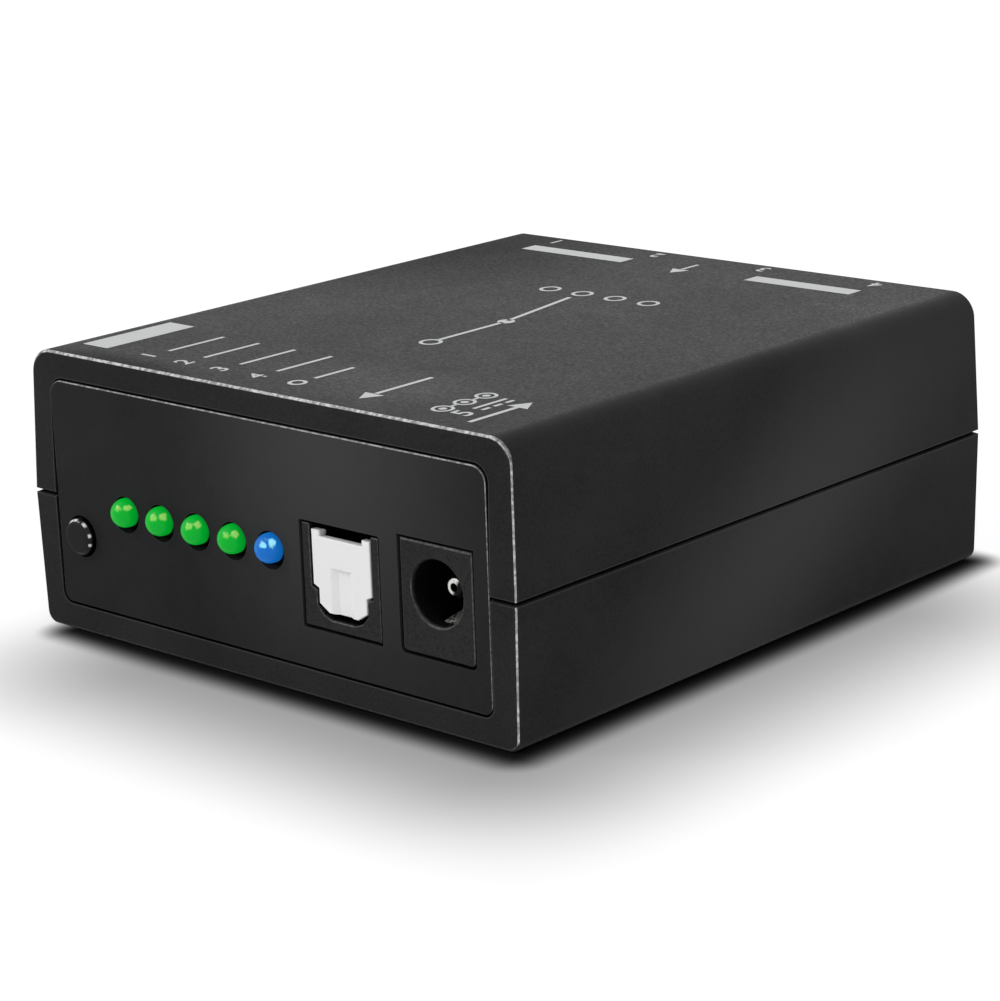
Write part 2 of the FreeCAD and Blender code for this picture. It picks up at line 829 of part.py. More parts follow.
# Screws
def make_screws(label, place, spans, head, shank, head_up):
    """A pan-head screw with a cross recess, repeated at the four corners of a rectangle."""
    body = add_piece("PartDesign::Body", label, place)
    head_radius, head_height = head
    shank_radius, shank_length = shank
    head_way, shank_way = ("", "-") if head_up else ("-", "")
    profile = sketch_on(body, "XZ_Plane")
    head_end = f"{head_way}{head_height}"
    tip = f"{shank_way}({shank_length})"
    add_outline(profile, [
        ("0", head_end),
        (head_radius, head_end),
        (head_radius, "0"),
        (shank_radius, "0"),
        (shank_radius, tip),
        ("0", tip),
    ])
    turned = revolve(body, profile)
    crown = number(head_end)
    crown_edge = round_edges(
        body,
        "screw_edge",
        lambda edge: lies_at(edge, Z_WAY, crown) and isinstance(edge.Curve, Part.Circle),
    )
    cross = sketch_on(body, "XY_Plane", head_end)
    add_outline(cross, cross_corners("cross_arm", "cross_width / 2"))
    recess = pocket(body, cross, "cross_depth", reverse=not head_up)
    across, along = spans
    repeat(body, [turned, crown_edge, recess], [("X_Axis", across, 2), ("Y_Axis", along, 2)])


def cross_corners(arm, half):
    """The twelve corners of a plus sign."""
    quarter = [(half, half), (half, arm), (f"-({half})", arm)]
    corners = []
    for _ in range(4):
        corners += quarter
        quarter = [(f"-({y})", x) for x, y in quarter]
    return corners


# The circuit board, with a hole and a solder joint for every lead
def section_reach(width, thickness):
    """How far a flat lead's corners are from its centre."""
    return f"({width} ^ 2 + {thickness} ^ 2) ^ 0.5 / 2"


def lead_places():
    """Each lead's x and y on the board and the reach of its section from its centre."""
    places = []
    lamp_reach = section_reach("lead_width", "lead_width")
    pin_reach = section_reach("pin_width", "pin_sheet")
    lamp_lead_y = f"(-{PANEL_FACE} + {LAMP_BACK} + lead_run)"
    for place in range(LAMP_COUNT):
        for side in ("+", "-"):
            places.append((f"{lamp_x(place)} {side} lead_spacing / 2", lamp_lead_y, lamp_reach))
    for pin in range(PINS_PER_PORT):
        shift = pin_shift(pin)
        places.append((f"{OUTPUT_X} + {shift}", f"-{PORT_FACE} + {PIN_DEPTH}", pin_reach))
        for port in range(INPUT_COUNT):
            places.append((f"{input_x(port)} + {shift}", f"{PORT_FACE} - {PIN_DEPTH}", pin_reach))
    for side in ("+", "-"):
        places.append((f"{BUTTON_X} {side} switch_pin_x", f"-{PANEL_FACE} + {SWITCH_PIN_DEPTH}",
                       section_reach("switch_pin_width", "switch_pin_sheet")))
        places.append((f"{BUTTON_X} {side} (switch_width + bracket_sheet) / 2",
                       f"-{PANEL_FACE} + bracket_leg_depth + bracket_leg / 2",
                       section_reach("bracket_leg", "bracket_sheet")))
    for name, depth in (("terminal", TERMINAL_DEPTH), ("leaf", "leaf_leg_depth")):
        places.append((INLET_X, f"-{INLET_FACE} + {depth} + {name}_sheet / 2",
                       section_reach(f"{name}_width", f"{name}_sheet")))
    return places


def pin_shift(pin):
    return f"{pin - (PINS_PER_PORT - 1) / 2} * pin_pitch"


def make_circuit_board():
    body = add_piece("PartDesign::Body", "circuit_board")
    outline = sketch_on(body, "XY_Plane", BOARD_LOW)
    add_centred(outline, f"({INNER_HALF} - board_side_gap)", f"({RIB_BACK} - board_end_gap)")
    pad(body, outline, "board_thickness")
    columns = four_circles(body, BOARD_LOW, BOSS_X, BOSS_Y, "boss_radius + notch_gap")
    pocket(body, columns, "board_thickness", reverse=True)
    notches = sketch_on(body, "XY_Plane", BOARD_LOW)
    for side in ("", "-"):
        for end in ("", "-"):
            add_centred(notches, "notch_reach", "(boss_radius + notch_gap)",
                        f"{side}({BOSS_X} + notch_reach)", f"{end}{BOSS_Y}")
    pocket(body, notches, "board_thickness", reverse=True)
    screws = four_circles(body, BOARD_LOW, STANDOFF_X, "standoff_y", "board_screw_radius + board_screw_gap")
    pocket(body, screws, "board_thickness", reverse=True)
    holes = sketch_on(body, "XY_Plane", BOARD_LOW)
    for x, y, reach in lead_places():
        add_circle(holes, x, y, f"{reach} + hole_gap")
    pocket(body, holes, "board_thickness", reverse=True)
    pegs = sketch_on(body, "XY_Plane", BOARD_LOW)
    for side in ("+", "-"):
        add_circle(pegs, f"{OUTPUT_X} {side} peg_x", f"-{PORT_FACE} + peg_depth", "peg_radius + peg_fit")
        for port in range(INPUT_COUNT):
            depth = f"{PORT_FACE} - peg_depth"
            add_circle(pegs, f"{input_x(port)} {side} peg_x", depth, "peg_radius + peg_fit")
    pocket(body, pegs, "board_thickness", reverse=True)


def make_solder_joints():
    joints = []
    for place, (x, y, reach) in enumerate(lead_places(), start=1):
        joint = document.addObject("Part::Cone", f"solder_joint_{place}")
        bind(joint, "Radius1", "solder_tip_radius")
        bind(joint, "Radius2", f"{reach} + hole_gap + solder_land")
        bind(joint, "Height", "solder_height")
        set_place(joint, (x, y, f"{BOARD_LOW} - solder_height"))
        joints.append(joint)
    add_group("solder_joints", joints)


# The push button and its switch
SWITCH_PLACE = (BUTTON_X, "-" + PANEL_FACE, "button_z")


def make_button():
    body = add_piece("PartDesign::Body", "select_button", SWITCH_PLACE)
    profile = sketch_on(body, "XY_Plane")
    flange = f"({SWITCH_FRONT} + button_stop_gap)"
    add_outline(profile, [
        ("0", "-button_proud"),
        ("button_radius - button_rim", "-button_proud"),
        ("button_radius", "-button_proud + button_rim"),
        ("button_radius", flange),
        ("button_flange_radius", flange),
        ("button_flange_radius", f"{flange} + button_flange"),
        ("button_nub_radius", f"{flange} + button_flange"),
        ("button_nub_radius", NUB_END),
        ("0", NUB_END),
    ], {1: ("button_radius - button_rim", "-button_proud + button_rim", "button_rim")})
    revolve(body, profile)


def make_switch_bracket():
    body = add_piece("PartDesign::Body", "switch_bracket", SWITCH_PLACE)
    plate = sketch_on(body, "XZ_Plane", "-bracket_depth")
    add_centred(plate, "(switch_width / 2 + bracket_sheet)", "(switch_width / 2)")
    add_circle(plate, "0", "0", "button_radius + button_fit")
    pad(body, plate, "bracket_sheet", reverse=True)
    arm = sketch_on(body, "XZ_Plane", "-bracket_depth")
    add_rectangle(arm, "switch_width / 2", "switch_width / 2 + bracket_sheet",
                  "-switch_width / 2", "switch_width / 2 - bracket_arm_step")
    arm_pad = pad(body, arm, "bracket_sheet + bracket_arm", reverse=True)
    leg = sketch_on(body, "YZ_Plane", "switch_width / 2")
    add_rectangle(leg, "bracket_leg_depth", "bracket_leg_depth + bracket_leg",
                  f"{BOARD_LOW} - button_z", "-switch_width / 2")
    leg_pad = pad(body, leg, "bracket_sheet")
    mirror(body, [arm_pad, leg_pad], "YZ_Plane")


def make_switch_case():
    body = add_piece("PartDesign::Body", "switch_case", SWITCH_PLACE)
    block = sketch_on(body, "XZ_Plane", f"-{SWITCH_FRONT}")
    add_centred(block, "(switch_width / 2)", "(switch_width / 2)")
    pad(body, block, "switch_depth", reverse=True)
    chamber = sketch_on(body, "XZ_Plane", f"-{SWITCH_FRONT}")
    add_circle(chamber, "0", "0", "switch_chamber_radius")
    pocket(body, chamber, "switch_depth - switch_back_wall")


def make_switch_dome():
    body = add_piece("PartDesign::Body", "switch_dome", SWITCH_PLACE)
    crown = f"({CHAMBER_BACK} - dome_rise)"
    knee = f"({CHAMBER_BACK} - dome_rise + dome_knee_drop)"
    profile = sketch_on(body, "XY_Plane")
    add_outline(profile, [
        ("0", crown),
        ("dome_knee", knee),
        ("dome_radius", f"{CHAMBER_BACK} - dome_sheet"),
        ("dome_radius", CHAMBER_BACK),
        ("dome_knee", f"{knee} + dome_sheet"),
        ("0", f"{crown} + dome_sheet"),
    ])
    revolve(body, profile)


def make_switch_pins():
    pins = []
    for side in ("+", "-"):
        pins.append(add_box(
            "switch_pin",
            (f"{BUTTON_X} {side} switch_pin_x - switch_pin_width / 2",
             f"-{PANEL_FACE} + {SWITCH_PIN_DEPTH} - switch_pin_sheet / 2", BOARD_LOW),
            ("switch_pin_width", "switch_pin_sheet", f"button_z - switch_width / 2 - {BOARD_LOW}"),
        ))
    add_group("switch_pins", pins)


# The indicator lamps
def make_lamp(label, place):
    """A round lamp with a domed nose that stands out of the panel and a collar behind it."""
    body = add_piece("PartDesign::Body", label, (lamp_x(place), "-" + PANEL_FACE, "lamp_z"))
    profile = sketch_on(body, "XY_Plane")
    add_outline(profile, [
        ("0", "-lamp_proud - lamp_radius"),
        ("lamp_radius", "-lamp_proud"),
        ("lamp_radius", "lamp_barrel"),
        ("lamp_flange_radius", "lamp_barrel"),
        ("lamp_flange_radius", LAMP_BACK),
        ("0", LAMP_BACK),
    ], {0: ("0", "-lamp_proud", "lamp_radius")})
    revolve(body, profile)


def make_lamp_leads():
    """Two bent leads behind every lamp."""
    body = add_piece("PartDesign::Body", "led_leads", (lamp_x(0), "-" + PANEL_FACE, "lamp_z"))
    profile = sketch_on(body, "YZ_Plane", "lead_spacing / 2 - lead_width / 2")
    half = "lead_width / 2"
    drop = f"({LAMP_BACK} + lead_run)"
    turn_y = f"{drop} - {half} - lead_bend"
    turn_z = f"-{half} - lead_bend"
    foot = f"{BOARD_LOW} - lamp_z"
    add_outline(profile, [
        (LAMP_BACK, half),
        (turn_y, half),
        (f"{drop} + {half}", turn_z),
        (f"{drop} + {half}", foot),
        (f"{drop} - {half}", foot),
        (f"{drop} - {half}", turn_z),
        (turn_y, f"-{half}"),
        (LAMP_BACK, f"-{half}"),
    ], {1: (turn_y, turn_z, "lead_bend + lead_width"), 5: (turn_y, turn_z, "lead_bend")})
    lead = pad(body, profile, "lead_width")
    repeat(body, [lead], [("X_Axis", LAMP_PITCH, LAMP_COUNT)], "YZ_Plane")


# The optical sockets. Each is modelled from the centre of its lower front edge, with +Y going in.
def add_port_pieces(label, optic_label, x, at_front):
    rotation = UNTURNED if at_front else TURNED
    place = (x, ("-" if at_front else "") + PORT_FACE, "board_top")
    make_port_housing(label + "_housing", place, rotation)
    make_shutter(label + "_shutter", place, rotation)
    make_shutter_spring(label + "_spring", x, at_front)
    make_optic(optic_label, place, rotation)


def make_port_housing(label, place, rotation):
    body = add_piece("PartDesign::Body", label, place, rotation)
    block = sketch_on(body, "XZ_Plane")
    add_rectangle(block, "-port_width / 2", "port_width / 2", "0", "port_height")
    pad(body, block, "port_depth", reverse=True)
    round_edges(body, "port_edge_radius", lambda edge: lies_at(edge, Y_WAY, 0))
    mouth = sketch_on(body, "XZ_Plane")
    right_side = [
        ("mouth_half_bottom", "mouth_bottom"),
        ("mouth_half_middle", "mouth_middle"),
        ("mouth_half_narrow", "mouth_chamfer_top"),
        ("mouth_half_narrow", "mouth_step_low"),
        ("mouth_half_wide", "mouth_step_high"),
        ("mouth_half_wide", "mouth_roof"),
    ]
    add_outline(mouth, both_sides(right_side))
    pocket(body, mouth, "mouth_depth")
    notch = sketch_on(body, "XZ_Plane")
    half = "mouth_half_wide"
    add_rectangle(notch, "-" + half, half, "mouth_roof - cut_past", "port_height + cut_past")
    pocket(body, notch, "roof_notch")
    reach = number("mouth_half_wide") + NEAR
    round_edges(body, "mouth_edge_radius",
                lambda edge: lies_at(edge, Y_WAY, 0) and max(abs(point.X) for point in edge.Vertexes) < reach)
    bore = sketch_on(body, "XZ_Plane")
    add_circle(bore, "0", "optic_axis", "ferrule_radius")
    pocket(body, bore, "mouth_depth + ferrule_wall + optic_gap")
    chamber = sketch_on(body, "XZ_Plane", "-port_depth")
    half = "(optic_width / 2 + optic_gap)"
    add_rectangle(chamber, "-" + half, half, "-cut_past", "optic_axis + optic_height / 2 + optic_gap")
    pocket(body, chamber, CHAMBER_DEPTH, reverse=True)
    hinge = sketch_on(body, "YZ_Plane")
    add_circle(hinge, HINGE_DEPTH, "hinge_height", "hinge_pin_radius + hinge_fit")
    pocket(body, hinge, "2 * (hinge_pin_end + hinge_fit)", both_ways=True)
    spring_pocket = sketch_on(body, "YZ_Plane", "mouth_half_wide + spring_pocket_depth")
    add_circle(spring_pocket, HINGE_DEPTH, "hinge_height", "spring_pocket_radius")
    pocket(body, spring_pocket, "spring_pocket_depth + cut_past")
    pegs = sketch_on(body, "XY_Plane")
    for side in ("", "-"):
        add_circle(pegs, side + "peg_x", "peg_depth", "peg_radius")
    pad(body, pegs, "board_thickness + peg_proud", reverse=True)


def both_sides(right_side):
    """The corners of an outline that is the same left and right, from its right half."""
    return right_side + [(f"-({x})", z) for x, z in reversed(right_side)]


def make_shutter(label, place, rotation):
    """A door hung from two ears at its top, with a shallow channel down its front."""
    body = add_piece("PartDesign::Body", label, place, rotation)
    half_wide = "(mouth_half_wide - shutter_side_gap)"
    half_narrow = "(mouth_half_narrow - shutter_side_gap)"
    plate = sketch_on(body, "XZ_Plane", "-shutter_recess")
    add_outline(plate, both_sides([
        ("shutter_bottom_half", "mouth_bottom + shutter_bottom_gap"),
        (half_narrow, "mouth_chamfer_top + shutter_low_gap"),
        (half_narrow, "mouth_step_low + shutter_low_gap"),
        (half_wide, "mouth_step_high + shutter_low_gap"),
        (half_wide, "hinge_height + ear_rise"),
        ("shutter_ear_inner", "hinge_height + ear_rise"),
        ("shutter_ear_inner", "shutter_top"),
    ]))
    pad(body, plate, "shutter_thickness", reverse=True)
    front = number("shutter_recess")
    round_edges(body, "shutter_edge_radius",
                lambda edge: lies_at(edge, Y_WAY, front) and not runs_along(edge, Y_WAY))
    channel = sketch_on(body, "XY_Plane", "channel_top")
    add_outline(channel, both_sides([
        ("channel_half_wide", "0"),
        ("channel_half_wide", "shutter_recess"),
        ("channel_half_narrow", "shutter_recess + channel_depth"),
    ]))
    pocket(body, channel, "channel_top")
    barrel = sketch_on(body, "YZ_Plane", "shutter_ear_inner")
    add_circle(barrel, HINGE_DEPTH, "hinge_height", "ear_rise")
    barrel_pad = pad(body, barrel, f"{half_wide} - shutter_ear_inner")
    pin = sketch_on(body, "YZ_Plane", f"{half_wide}")
    add_circle(pin, HINGE_DEPTH, "hinge_height", "hinge_pin_radius")
    pin_pad = pad(body, pin, f"hinge_pin_end - {half_wide}")
    mirror(body, [barrel_pad, pin_pad], "YZ_Plane")


def make_spring_path():
    """The winding that every shutter spring follows, and the wire's section at its start."""
    path = document.addObject("Part::Helix", "spring_path")
    bind(path, "Pitch", "spring_pitch")
    bind(path, "Height", "spring_pitch * spring_turns")
    bind(path, "Radius", "spring_radius")
    section = document.addObject("Part::RegularPolygon", "spring_section")
    section.Polygon = WIRE_SIDES
    bind(section, "Circumradius", "spring_wire_radius")
    set_place(section, ("spring_radius", "0", "0"), FreeCAD.Rotation(X_WAY, 90))
    return path, section


def make_shutter_spring(label, x, at_front):
    """A small torsion spring round the hinge pin, in a pocket of the housing's side wall."""
    spring = add_piece("Part::Sweep", label)
    spring.Sections = [spring_section]
    spring.Spine = (spring_path, [])
    spring.Solid = True
    spring.Frenet = True
    turn = FreeCAD.Rotation(Y_WAY, 90)
    start = "(mouth_half_wide + (spring_pocket_depth - spring_pitch * spring_turns) / 2)"
    way, back = ("+", "-") if at_front else ("-", "+")
    set_place(
        spring,
        (f"{x} {way} {start}", f"{back}{PORT_FACE} {way} {HINGE_DEPTH}", "board_top + hinge_height"),
        turn if at_front else TURNED.multiply(turn),
    )


def make_optic(label, place, rotation):
    """The light sender or receiver: a block behind the ferrule wall with a lens in its bore."""
    body = add_piece("PartDesign::Body", label, place, rotation)
    block = sketch_on(body, "XZ_Plane", f"-{OPTIC_FRONT}")
    add_centred(block, "(optic_width / 2)", "(optic_height / 2)", y="optic_axis")
    pad(body, block, "optic_depth", reverse=True)
    lens = sketch_on(body, "XZ_Plane", f"-{OPTIC_FRONT}")
    add_circle(lens, "0", "optic_axis", "lens_radius")
    pad(body, lens, "lens_proud")
    tip = number(f"{OPTIC_FRONT} - lens_proud")
    round_edges(body, "lens_round", lambda edge: lies_at(edge, Y_WAY, tip))


def add_port_pins(label, ports):
    """Three flat pins from each port's optic down to the underside of the board."""
    pins = []
    for x, at_front in ports:
        depth = f"-{PORT_FACE} + {PIN_DEPTH}" if at_front else f"{PORT_FACE} - {PIN_DEPTH}"
        for pin in range(PINS_PER_PORT):
            pins.append(add_box(
                label + "_pin",
                (f"{x} + {pin_shift(pin)} - pin_width / 2", f"{depth} - pin_sheet / 2", BOARD_LOW),
                ("pin_width", "pin_sheet", "board_thickness + optic_axis - optic_height / 2"),
            ))
    add_group(label, pins)


# The power inlet, modelled from the centre of its lower front edge like the sockets
INLET_PLACE = (INLET_X, "-" + INLET_FACE, "board_top")


def make_inlet_housing():
    body = add_piece("PartDesign::Body", "power_inlet_housing", INLET_PLACE)
    face = sketch_on(body, "XZ_Plane")
    add_rectangle(face, "-inlet_width / 2", "inlet_width / 2", "0", "inlet_height")
    pad(body, face, "inlet_face", reverse=True)
    round_edges(body, "inlet_low_corner", lambda edge: runs_along(edge, Y_WAY) and lies_at(edge, Z_WAY, 0))
    barrel = sketch_on(body, "XZ_Plane", "-inlet_face")
    reach = "inlet_barrel_radius"
    add_outline(barrel, [
        (reach, "0"),
        (reach, "inlet_axis"),
        ("0", f"inlet_axis + {reach}"),
        ("-" + reach, "inlet_axis"),
        ("-" + reach, "0"),
    ], {1: ("0", "inlet_axis", reach), 2: ("0", "inlet_axis", reach)})
    pad(body, barrel, "inlet_depth - inlet_face", reverse=True)
    bore = sketch_on(body, "XZ_Plane")
    add_circle(bore, "0", "inlet_axis", "inlet_bore_radius")
    pocket(body, bore, "inlet_bore_depth")
    round_edges(body, "inlet_edge_radius", lambda edge: lies_at(edge, Y_WAY, 0))
    pin_hole = sketch_on(body, "XZ_Plane")
    add_circle(pin_hole, "0", "inlet_axis", "inlet_pin_tail + inlet_pin_fit")
    pocket(body, pin_hole, INLET_REAR)
    back = sketch_on(body, "XZ_Plane", "-inlet_depth")
    add_rectangle(back, "-inlet_back_half", "inlet_back_half", "-cut_past", "inlet_back_top")
    pocket(body, back, f"inlet_depth - {INLET_REAR}", reverse=True)
    slot = sketch_on(body, "XY_Plane", "inlet_axis - inlet_bore_radius + leaf_rise + slot_margin")
    half = "(leaf_width / 2 + slot_margin)"
    end = "leaf_leg_depth + leaf_sheet + slot_margin"
    add_rectangle(slot, "-" + half, half, "leaf_start - slot_margin", end)
    pocket(body, slot, "inlet_height")


def make_inlet_pin():
    """The centre pin, hollow at its tip and riveted behind the housing's inner wall."""
    axis_place = (INLET_PLACE[0], INLET_PLACE[1], "board_top + inlet_axis")
    body = add_piece("PartDesign::Body", "power_inlet_pin", axis_place)
    profile = sketch_on(body, "XY_Plane")
    tip = "inlet_pin_recess"
    add_outline(profile, [
        ("0", f"{tip} + inlet_pin_dimple_depth"),
        ("inlet_pin_dimple", f"{tip} + inlet_pin_dimple_depth"),
        ("inlet_pin_dimple", tip),
        ("inlet_pin_radius - inlet_pin_round", tip),
        ("inlet_pin_radius", f"{tip} + inlet_pin_round"),
        ("inlet_pin_radius", "inlet_bore_depth - inlet_pin_neck"),
        ("inlet_pin_tail", "inlet_bore_depth - inlet_pin_neck"),
        ("inlet_pin_tail", INLET_REAR),
        ("inlet_rivet_radius", INLET_REAR),
        ("inlet_rivet_radius", TERMINAL_DEPTH),
        ("0", TERMINAL_DEPTH),
    ], {3: ("inlet_pin_radius - inlet_pin_round", f"{tip} + inlet_pin_round", "inlet_pin_round")})
    revolve(body, profile)


def make_inlet_terminal():
    terminal = add_piece("Part::Box", "power_inlet_terminal")
    for side, text in (("Length", "terminal_width"), ("Width", "terminal_sheet"),
                       ("Height", "board_thickness + inlet_axis + terminal_top")):
        bind(terminal, side, text)
    set_place(terminal, (f"{INLET_X} - terminal_width / 2", f"-{INLET_FACE} + {TERMINAL_DEPTH}", BOARD_LOW))


def make_inlet_leaf():
    """The leaf that presses on the plug's sleeve from below, with its leg through the board."""
    body = add_piece("PartDesign::Body", "power_inlet_leaf", INLET_PLACE)
    crest = "(inlet_axis - inlet_bore_radius + leaf_rise)"
    profile = sketch_on(body, "YZ_Plane")
    add_outline(profile, [
        ("leaf_leg_depth + leaf_sheet", "-board_thickness"),
        ("leaf_leg_depth + leaf_sheet", "leaf_low + leaf_sheet"),
        ("leaf_crest", crest),
        ("leaf_start", "leaf_front_height"),
        ("leaf_start", "leaf_front_height - leaf_sheet"),
        ("leaf_crest", f"{crest} - leaf_sheet"),
        ("leaf_leg_depth", "leaf_low"),
        ("leaf_leg_depth", "-board_thickness"),
    ])
    pad(body, profile, "leaf_width", both_ways=True)


# Parts soldered on top of the board
def make_chip(label, x, y, length, pins_a_side):
    place = (x, y, "board_top")
    body = add_piece("PartDesign::Body", label, place)
    block = sketch_on(body, "XY_Plane", "chip_standoff")
    add_centred(block, f"({length} / 2)", "(chip_width / 2)")
    pad(body, block, "chip_height")
    top = number("chip_standoff + chip_height")
    round_edges(body, "chip_edge", lambda edge: lies_at(edge, Z_WAY, top))
    pins = add_piece("PartDesign::Body", label + "_pins", place)
    first = f"-chip_pin_pitch * {(pins_a_side - 1) / 2} - chip_pin_width / 2"
    profile = sketch_on(pins, "YZ_Plane", first)
    side = "chip_width / 2"
    knee = f"{side} + chip_pin_reach - chip_pin_foot"
    shoulder = "(chip_standoff + chip_height / 2)"
    add_outline(profile, [
        (side, shoulder),
        (knee, shoulder),
        (knee, "0"),
        (f"{side} + chip_pin_reach", "0"),
        (f"{side} + chip_pin_reach", "chip_pin_sheet"),
        (f"{knee} + chip_pin_sheet", "chip_pin_sheet"),
        (f"{knee} + chip_pin_sheet", f"{shoulder} + chip_pin_sheet"),
        (side, f"{shoulder} + chip_pin_sheet"),
    ])
    pin = pad(pins, profile, "chip_pin_width")
    repeat(pins, [pin], [("X_Axis", "chip_pin_pitch", pins_a_side)], "XZ_Plane")


def make_regulator():
    body = add_piece("PartDesign::Body", "voltage_regulator", ("regulator_x", "regulator_y", "board_top"))
    block = sketch_on(body, "XY_Plane")
    add_centred(block, "(regulator_length / 2)", "(regulator_width / 2)")
    pad(body, block, "regulator_height")
    top = number("regulator_height")
    round_edges(body, "chip_edge", lambda edge: lies_at(edge, Z_WAY, top))
    tabs = [add_box(
        "regulator_tab",
        ("regulator_x - regulator_tab_width / 2", "regulator_y + regulator_width / 2", "board_top"),
        ("regulator_tab_width", "regulator_pin_reach", "regulator_pin_sheet"),
    )]
    for step in (-1, 0, 1):
        tabs.append(add_box(
            "regulator_pin",
            (f"regulator_x + {step} * regulator_pin_pitch - regulator_pin_width / 2",
             "regulator_y - regulator_width / 2 - regulator_pin_reach", "board_top"),
            ("regulator_pin_width", "regulator_pin_reach", "regulator_pin_sheet"),
        ))
    add_group("regulator_tabs", tabs)


def make_cans():
    """Two can capacitors on square bases."""
    cans = add_piece("PartDesign::Body", "can_capacitors", ("can_x", "can_y", "board_top + can_base_height"))
    profile = sketch_on(cans, "XZ_Plane")
    add_outline(profile, [
        ("0", "0"),
        ("can_radius", "0"),
        ("can_radius", "can_neck_start"),
        ("can_radius - can_neck", "can_neck_start + can_neck_half"),
        ("can_radius", "can_neck_start + 2 * can_neck_half"),
        ("can_radius", "can_height - can_edge"),
        ("can_radius - can_edge", "can_height"),
        ("0", "can_height"),
    ], {5: ("can_radius - can_edge", "can_height - can_edge", "can_edge")})
    can = revolve(cans, profile)
    repeat(cans, [can], [("X_Axis", "can_pitch", 2)])
    bases = [add_box(
        "capacitor_base",
        (f"can_x + {step} * can_pitch - can_base / 2", "can_y - can_base / 2", "board_top"),
        ("can_base", "can_base", "can_base_height"),
    ) for step in range(2)]
    add_group("capacitor_bases", bases)


def make_crystal():
    body = add_piece("PartDesign::Body", "timing_crystal", ("crystal_x", "crystal_y", "board_top"))
    flange = sketch_on(body, "XY_Plane")
    add_round_ended(flange, "crystal_straight / 2", "(crystal_width / 2 + crystal_flange)")
    pad(body, flange, "crystal_flange_height")
    can = sketch_on(body, "XY_Plane", "crystal_flange_height")
    add_round_ended(can, "crystal_straight / 2", "(crystal_width / 2)")
    pad(body, can, "crystal_height - crystal_flange_height")
    top = number("crystal_height")
    round_edges(body, "can_edge", lambda edge: lies_at(edge, Z_WAY, top))


def add_chip_parts(label, centres, height):
    boxes = [add_box(
        label + "_body",
        (f"{x} - chip_part_length / 2", f"{y} - chip_part_width / 2", "board_top"),
        ("chip_part_length", "chip_part_width", height),
    ) for x, y in centres]
    add_group(label, boxes)


# Everything, in the order it goes together
fill_sheet()
make_bottom_cover()
make_circuit_board()
make_button()
make_switch_bracket()
make_switch_case()
make_switch_dome()
make_switch_pins()
for place in range(LAMP_COUNT - 1):
    make_lamp(f"led_{place + 1}", place)
make_lamp("led_auto", LAMP_COUNT - 1)
make_lamp_leads()
spring_path, spring_section = make_spring_path()
add_port_pieces("output_port", "output_sender", OUTPUT_X, True)
add_port_pins("output_port_pins", [(OUTPUT_X, True)])
for place in range(INPUT_COUNT):
    add_port_pieces(f"input_port_{place + 1}", f"input_receiver_{place + 1}", input_x(place), False)
add_port_pins("input_port_pins", [(input_x(place), False) for place in range(INPUT_COUNT)])
make_inlet_housing()
make_inlet_pin()
make_inlet_terminal()
make_inlet_leaf()
make_chip("selector_chip", "selector_x", "selector_y", "selector_length", SELECTOR_PINS_A_SIDE)
make_chip("controller_chip", "controller_x", "controller_y", "controller_length", CONTROLLER_PINS_A_SIDE)
make_regulator()
make_cans()
make_crystal()
add_chip_parts(
    "chip_resistors",
    [(lamp_x(place), "resistor_end_margin - case_depth / 2") for place in range(LAMP_COUNT)],
    "resistor_height",
)
add_chip_parts(
    "chip_capacitors",
    [(OUTPUT_X, "capacitor_end_margin - case_depth / 2")]
    + [(input_x(place), "case_depth / 2 - capacitor_end_margin") for place in range(INPUT_COUNT)],
    "capacitor_height",
)
make_solder_joints()
make_screws(
    "board_screws",
    ("-" + STANDOFF_X, "-standoff_y", "board_top"),
    ("2 * " + STANDOFF_X, "2 * standoff_y"),
    ("board_screw_head_radius", "board_screw_head_height"),
    ("board_screw_radius", "board_thickness + board_screw_reach"),
    True,
)
make_front_panel()
make_rear_panel()
make_top_cover()
make_screws(
    "case_screws",
    ("-" + BOSS_X, "-" + BOSS_Y, "counterbore_depth"),
    ("2 * " + BOSS_X, "2 * " + BOSS_Y),
    ("screw_head_radius", "screw_head_height"),
    ("screw_shank_radius", "boss_split - counterbore_depth + screw_reach"),
    False,
)
document.recompute()

failed = [thing.Name for thing in document.Objects if {"Invalid", "Error"} & set(thing.State)]
failed += [piece.Label for piece in pieces if piece.Shape.isNull() or not piece.Shape.isValid()]
if failed:
    raise RuntimeError("failed: " + ", ".join(failed))

os.makedirs("parts", exist_ok=True)
for piece in pieces:
    piece.Shape.exportStep(f"parts/{piece.Label}.step")
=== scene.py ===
import json
import math

import bpy
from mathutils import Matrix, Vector


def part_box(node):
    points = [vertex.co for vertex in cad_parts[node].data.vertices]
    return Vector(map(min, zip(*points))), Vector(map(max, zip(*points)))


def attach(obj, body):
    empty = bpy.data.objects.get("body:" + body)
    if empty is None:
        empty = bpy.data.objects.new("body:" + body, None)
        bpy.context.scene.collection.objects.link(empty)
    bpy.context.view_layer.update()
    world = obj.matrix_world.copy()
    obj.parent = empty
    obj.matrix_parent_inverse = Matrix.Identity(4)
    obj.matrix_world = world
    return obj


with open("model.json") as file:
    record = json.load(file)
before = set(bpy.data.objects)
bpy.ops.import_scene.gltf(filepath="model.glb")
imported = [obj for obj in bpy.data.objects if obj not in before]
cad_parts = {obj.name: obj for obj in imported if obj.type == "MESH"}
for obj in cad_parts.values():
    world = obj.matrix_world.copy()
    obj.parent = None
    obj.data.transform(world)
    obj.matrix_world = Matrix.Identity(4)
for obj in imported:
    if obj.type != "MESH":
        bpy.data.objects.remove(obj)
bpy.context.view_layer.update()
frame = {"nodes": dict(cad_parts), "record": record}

# Optical audio switch. Its shells, panels, sockets, lamps and inner parts are the frame's own solids, which
# get their finishes here. The marks on the lid and the blank rating label on the underside are pieces made
# here. Metres, front towards -Y, lid up.
MM = 0.001


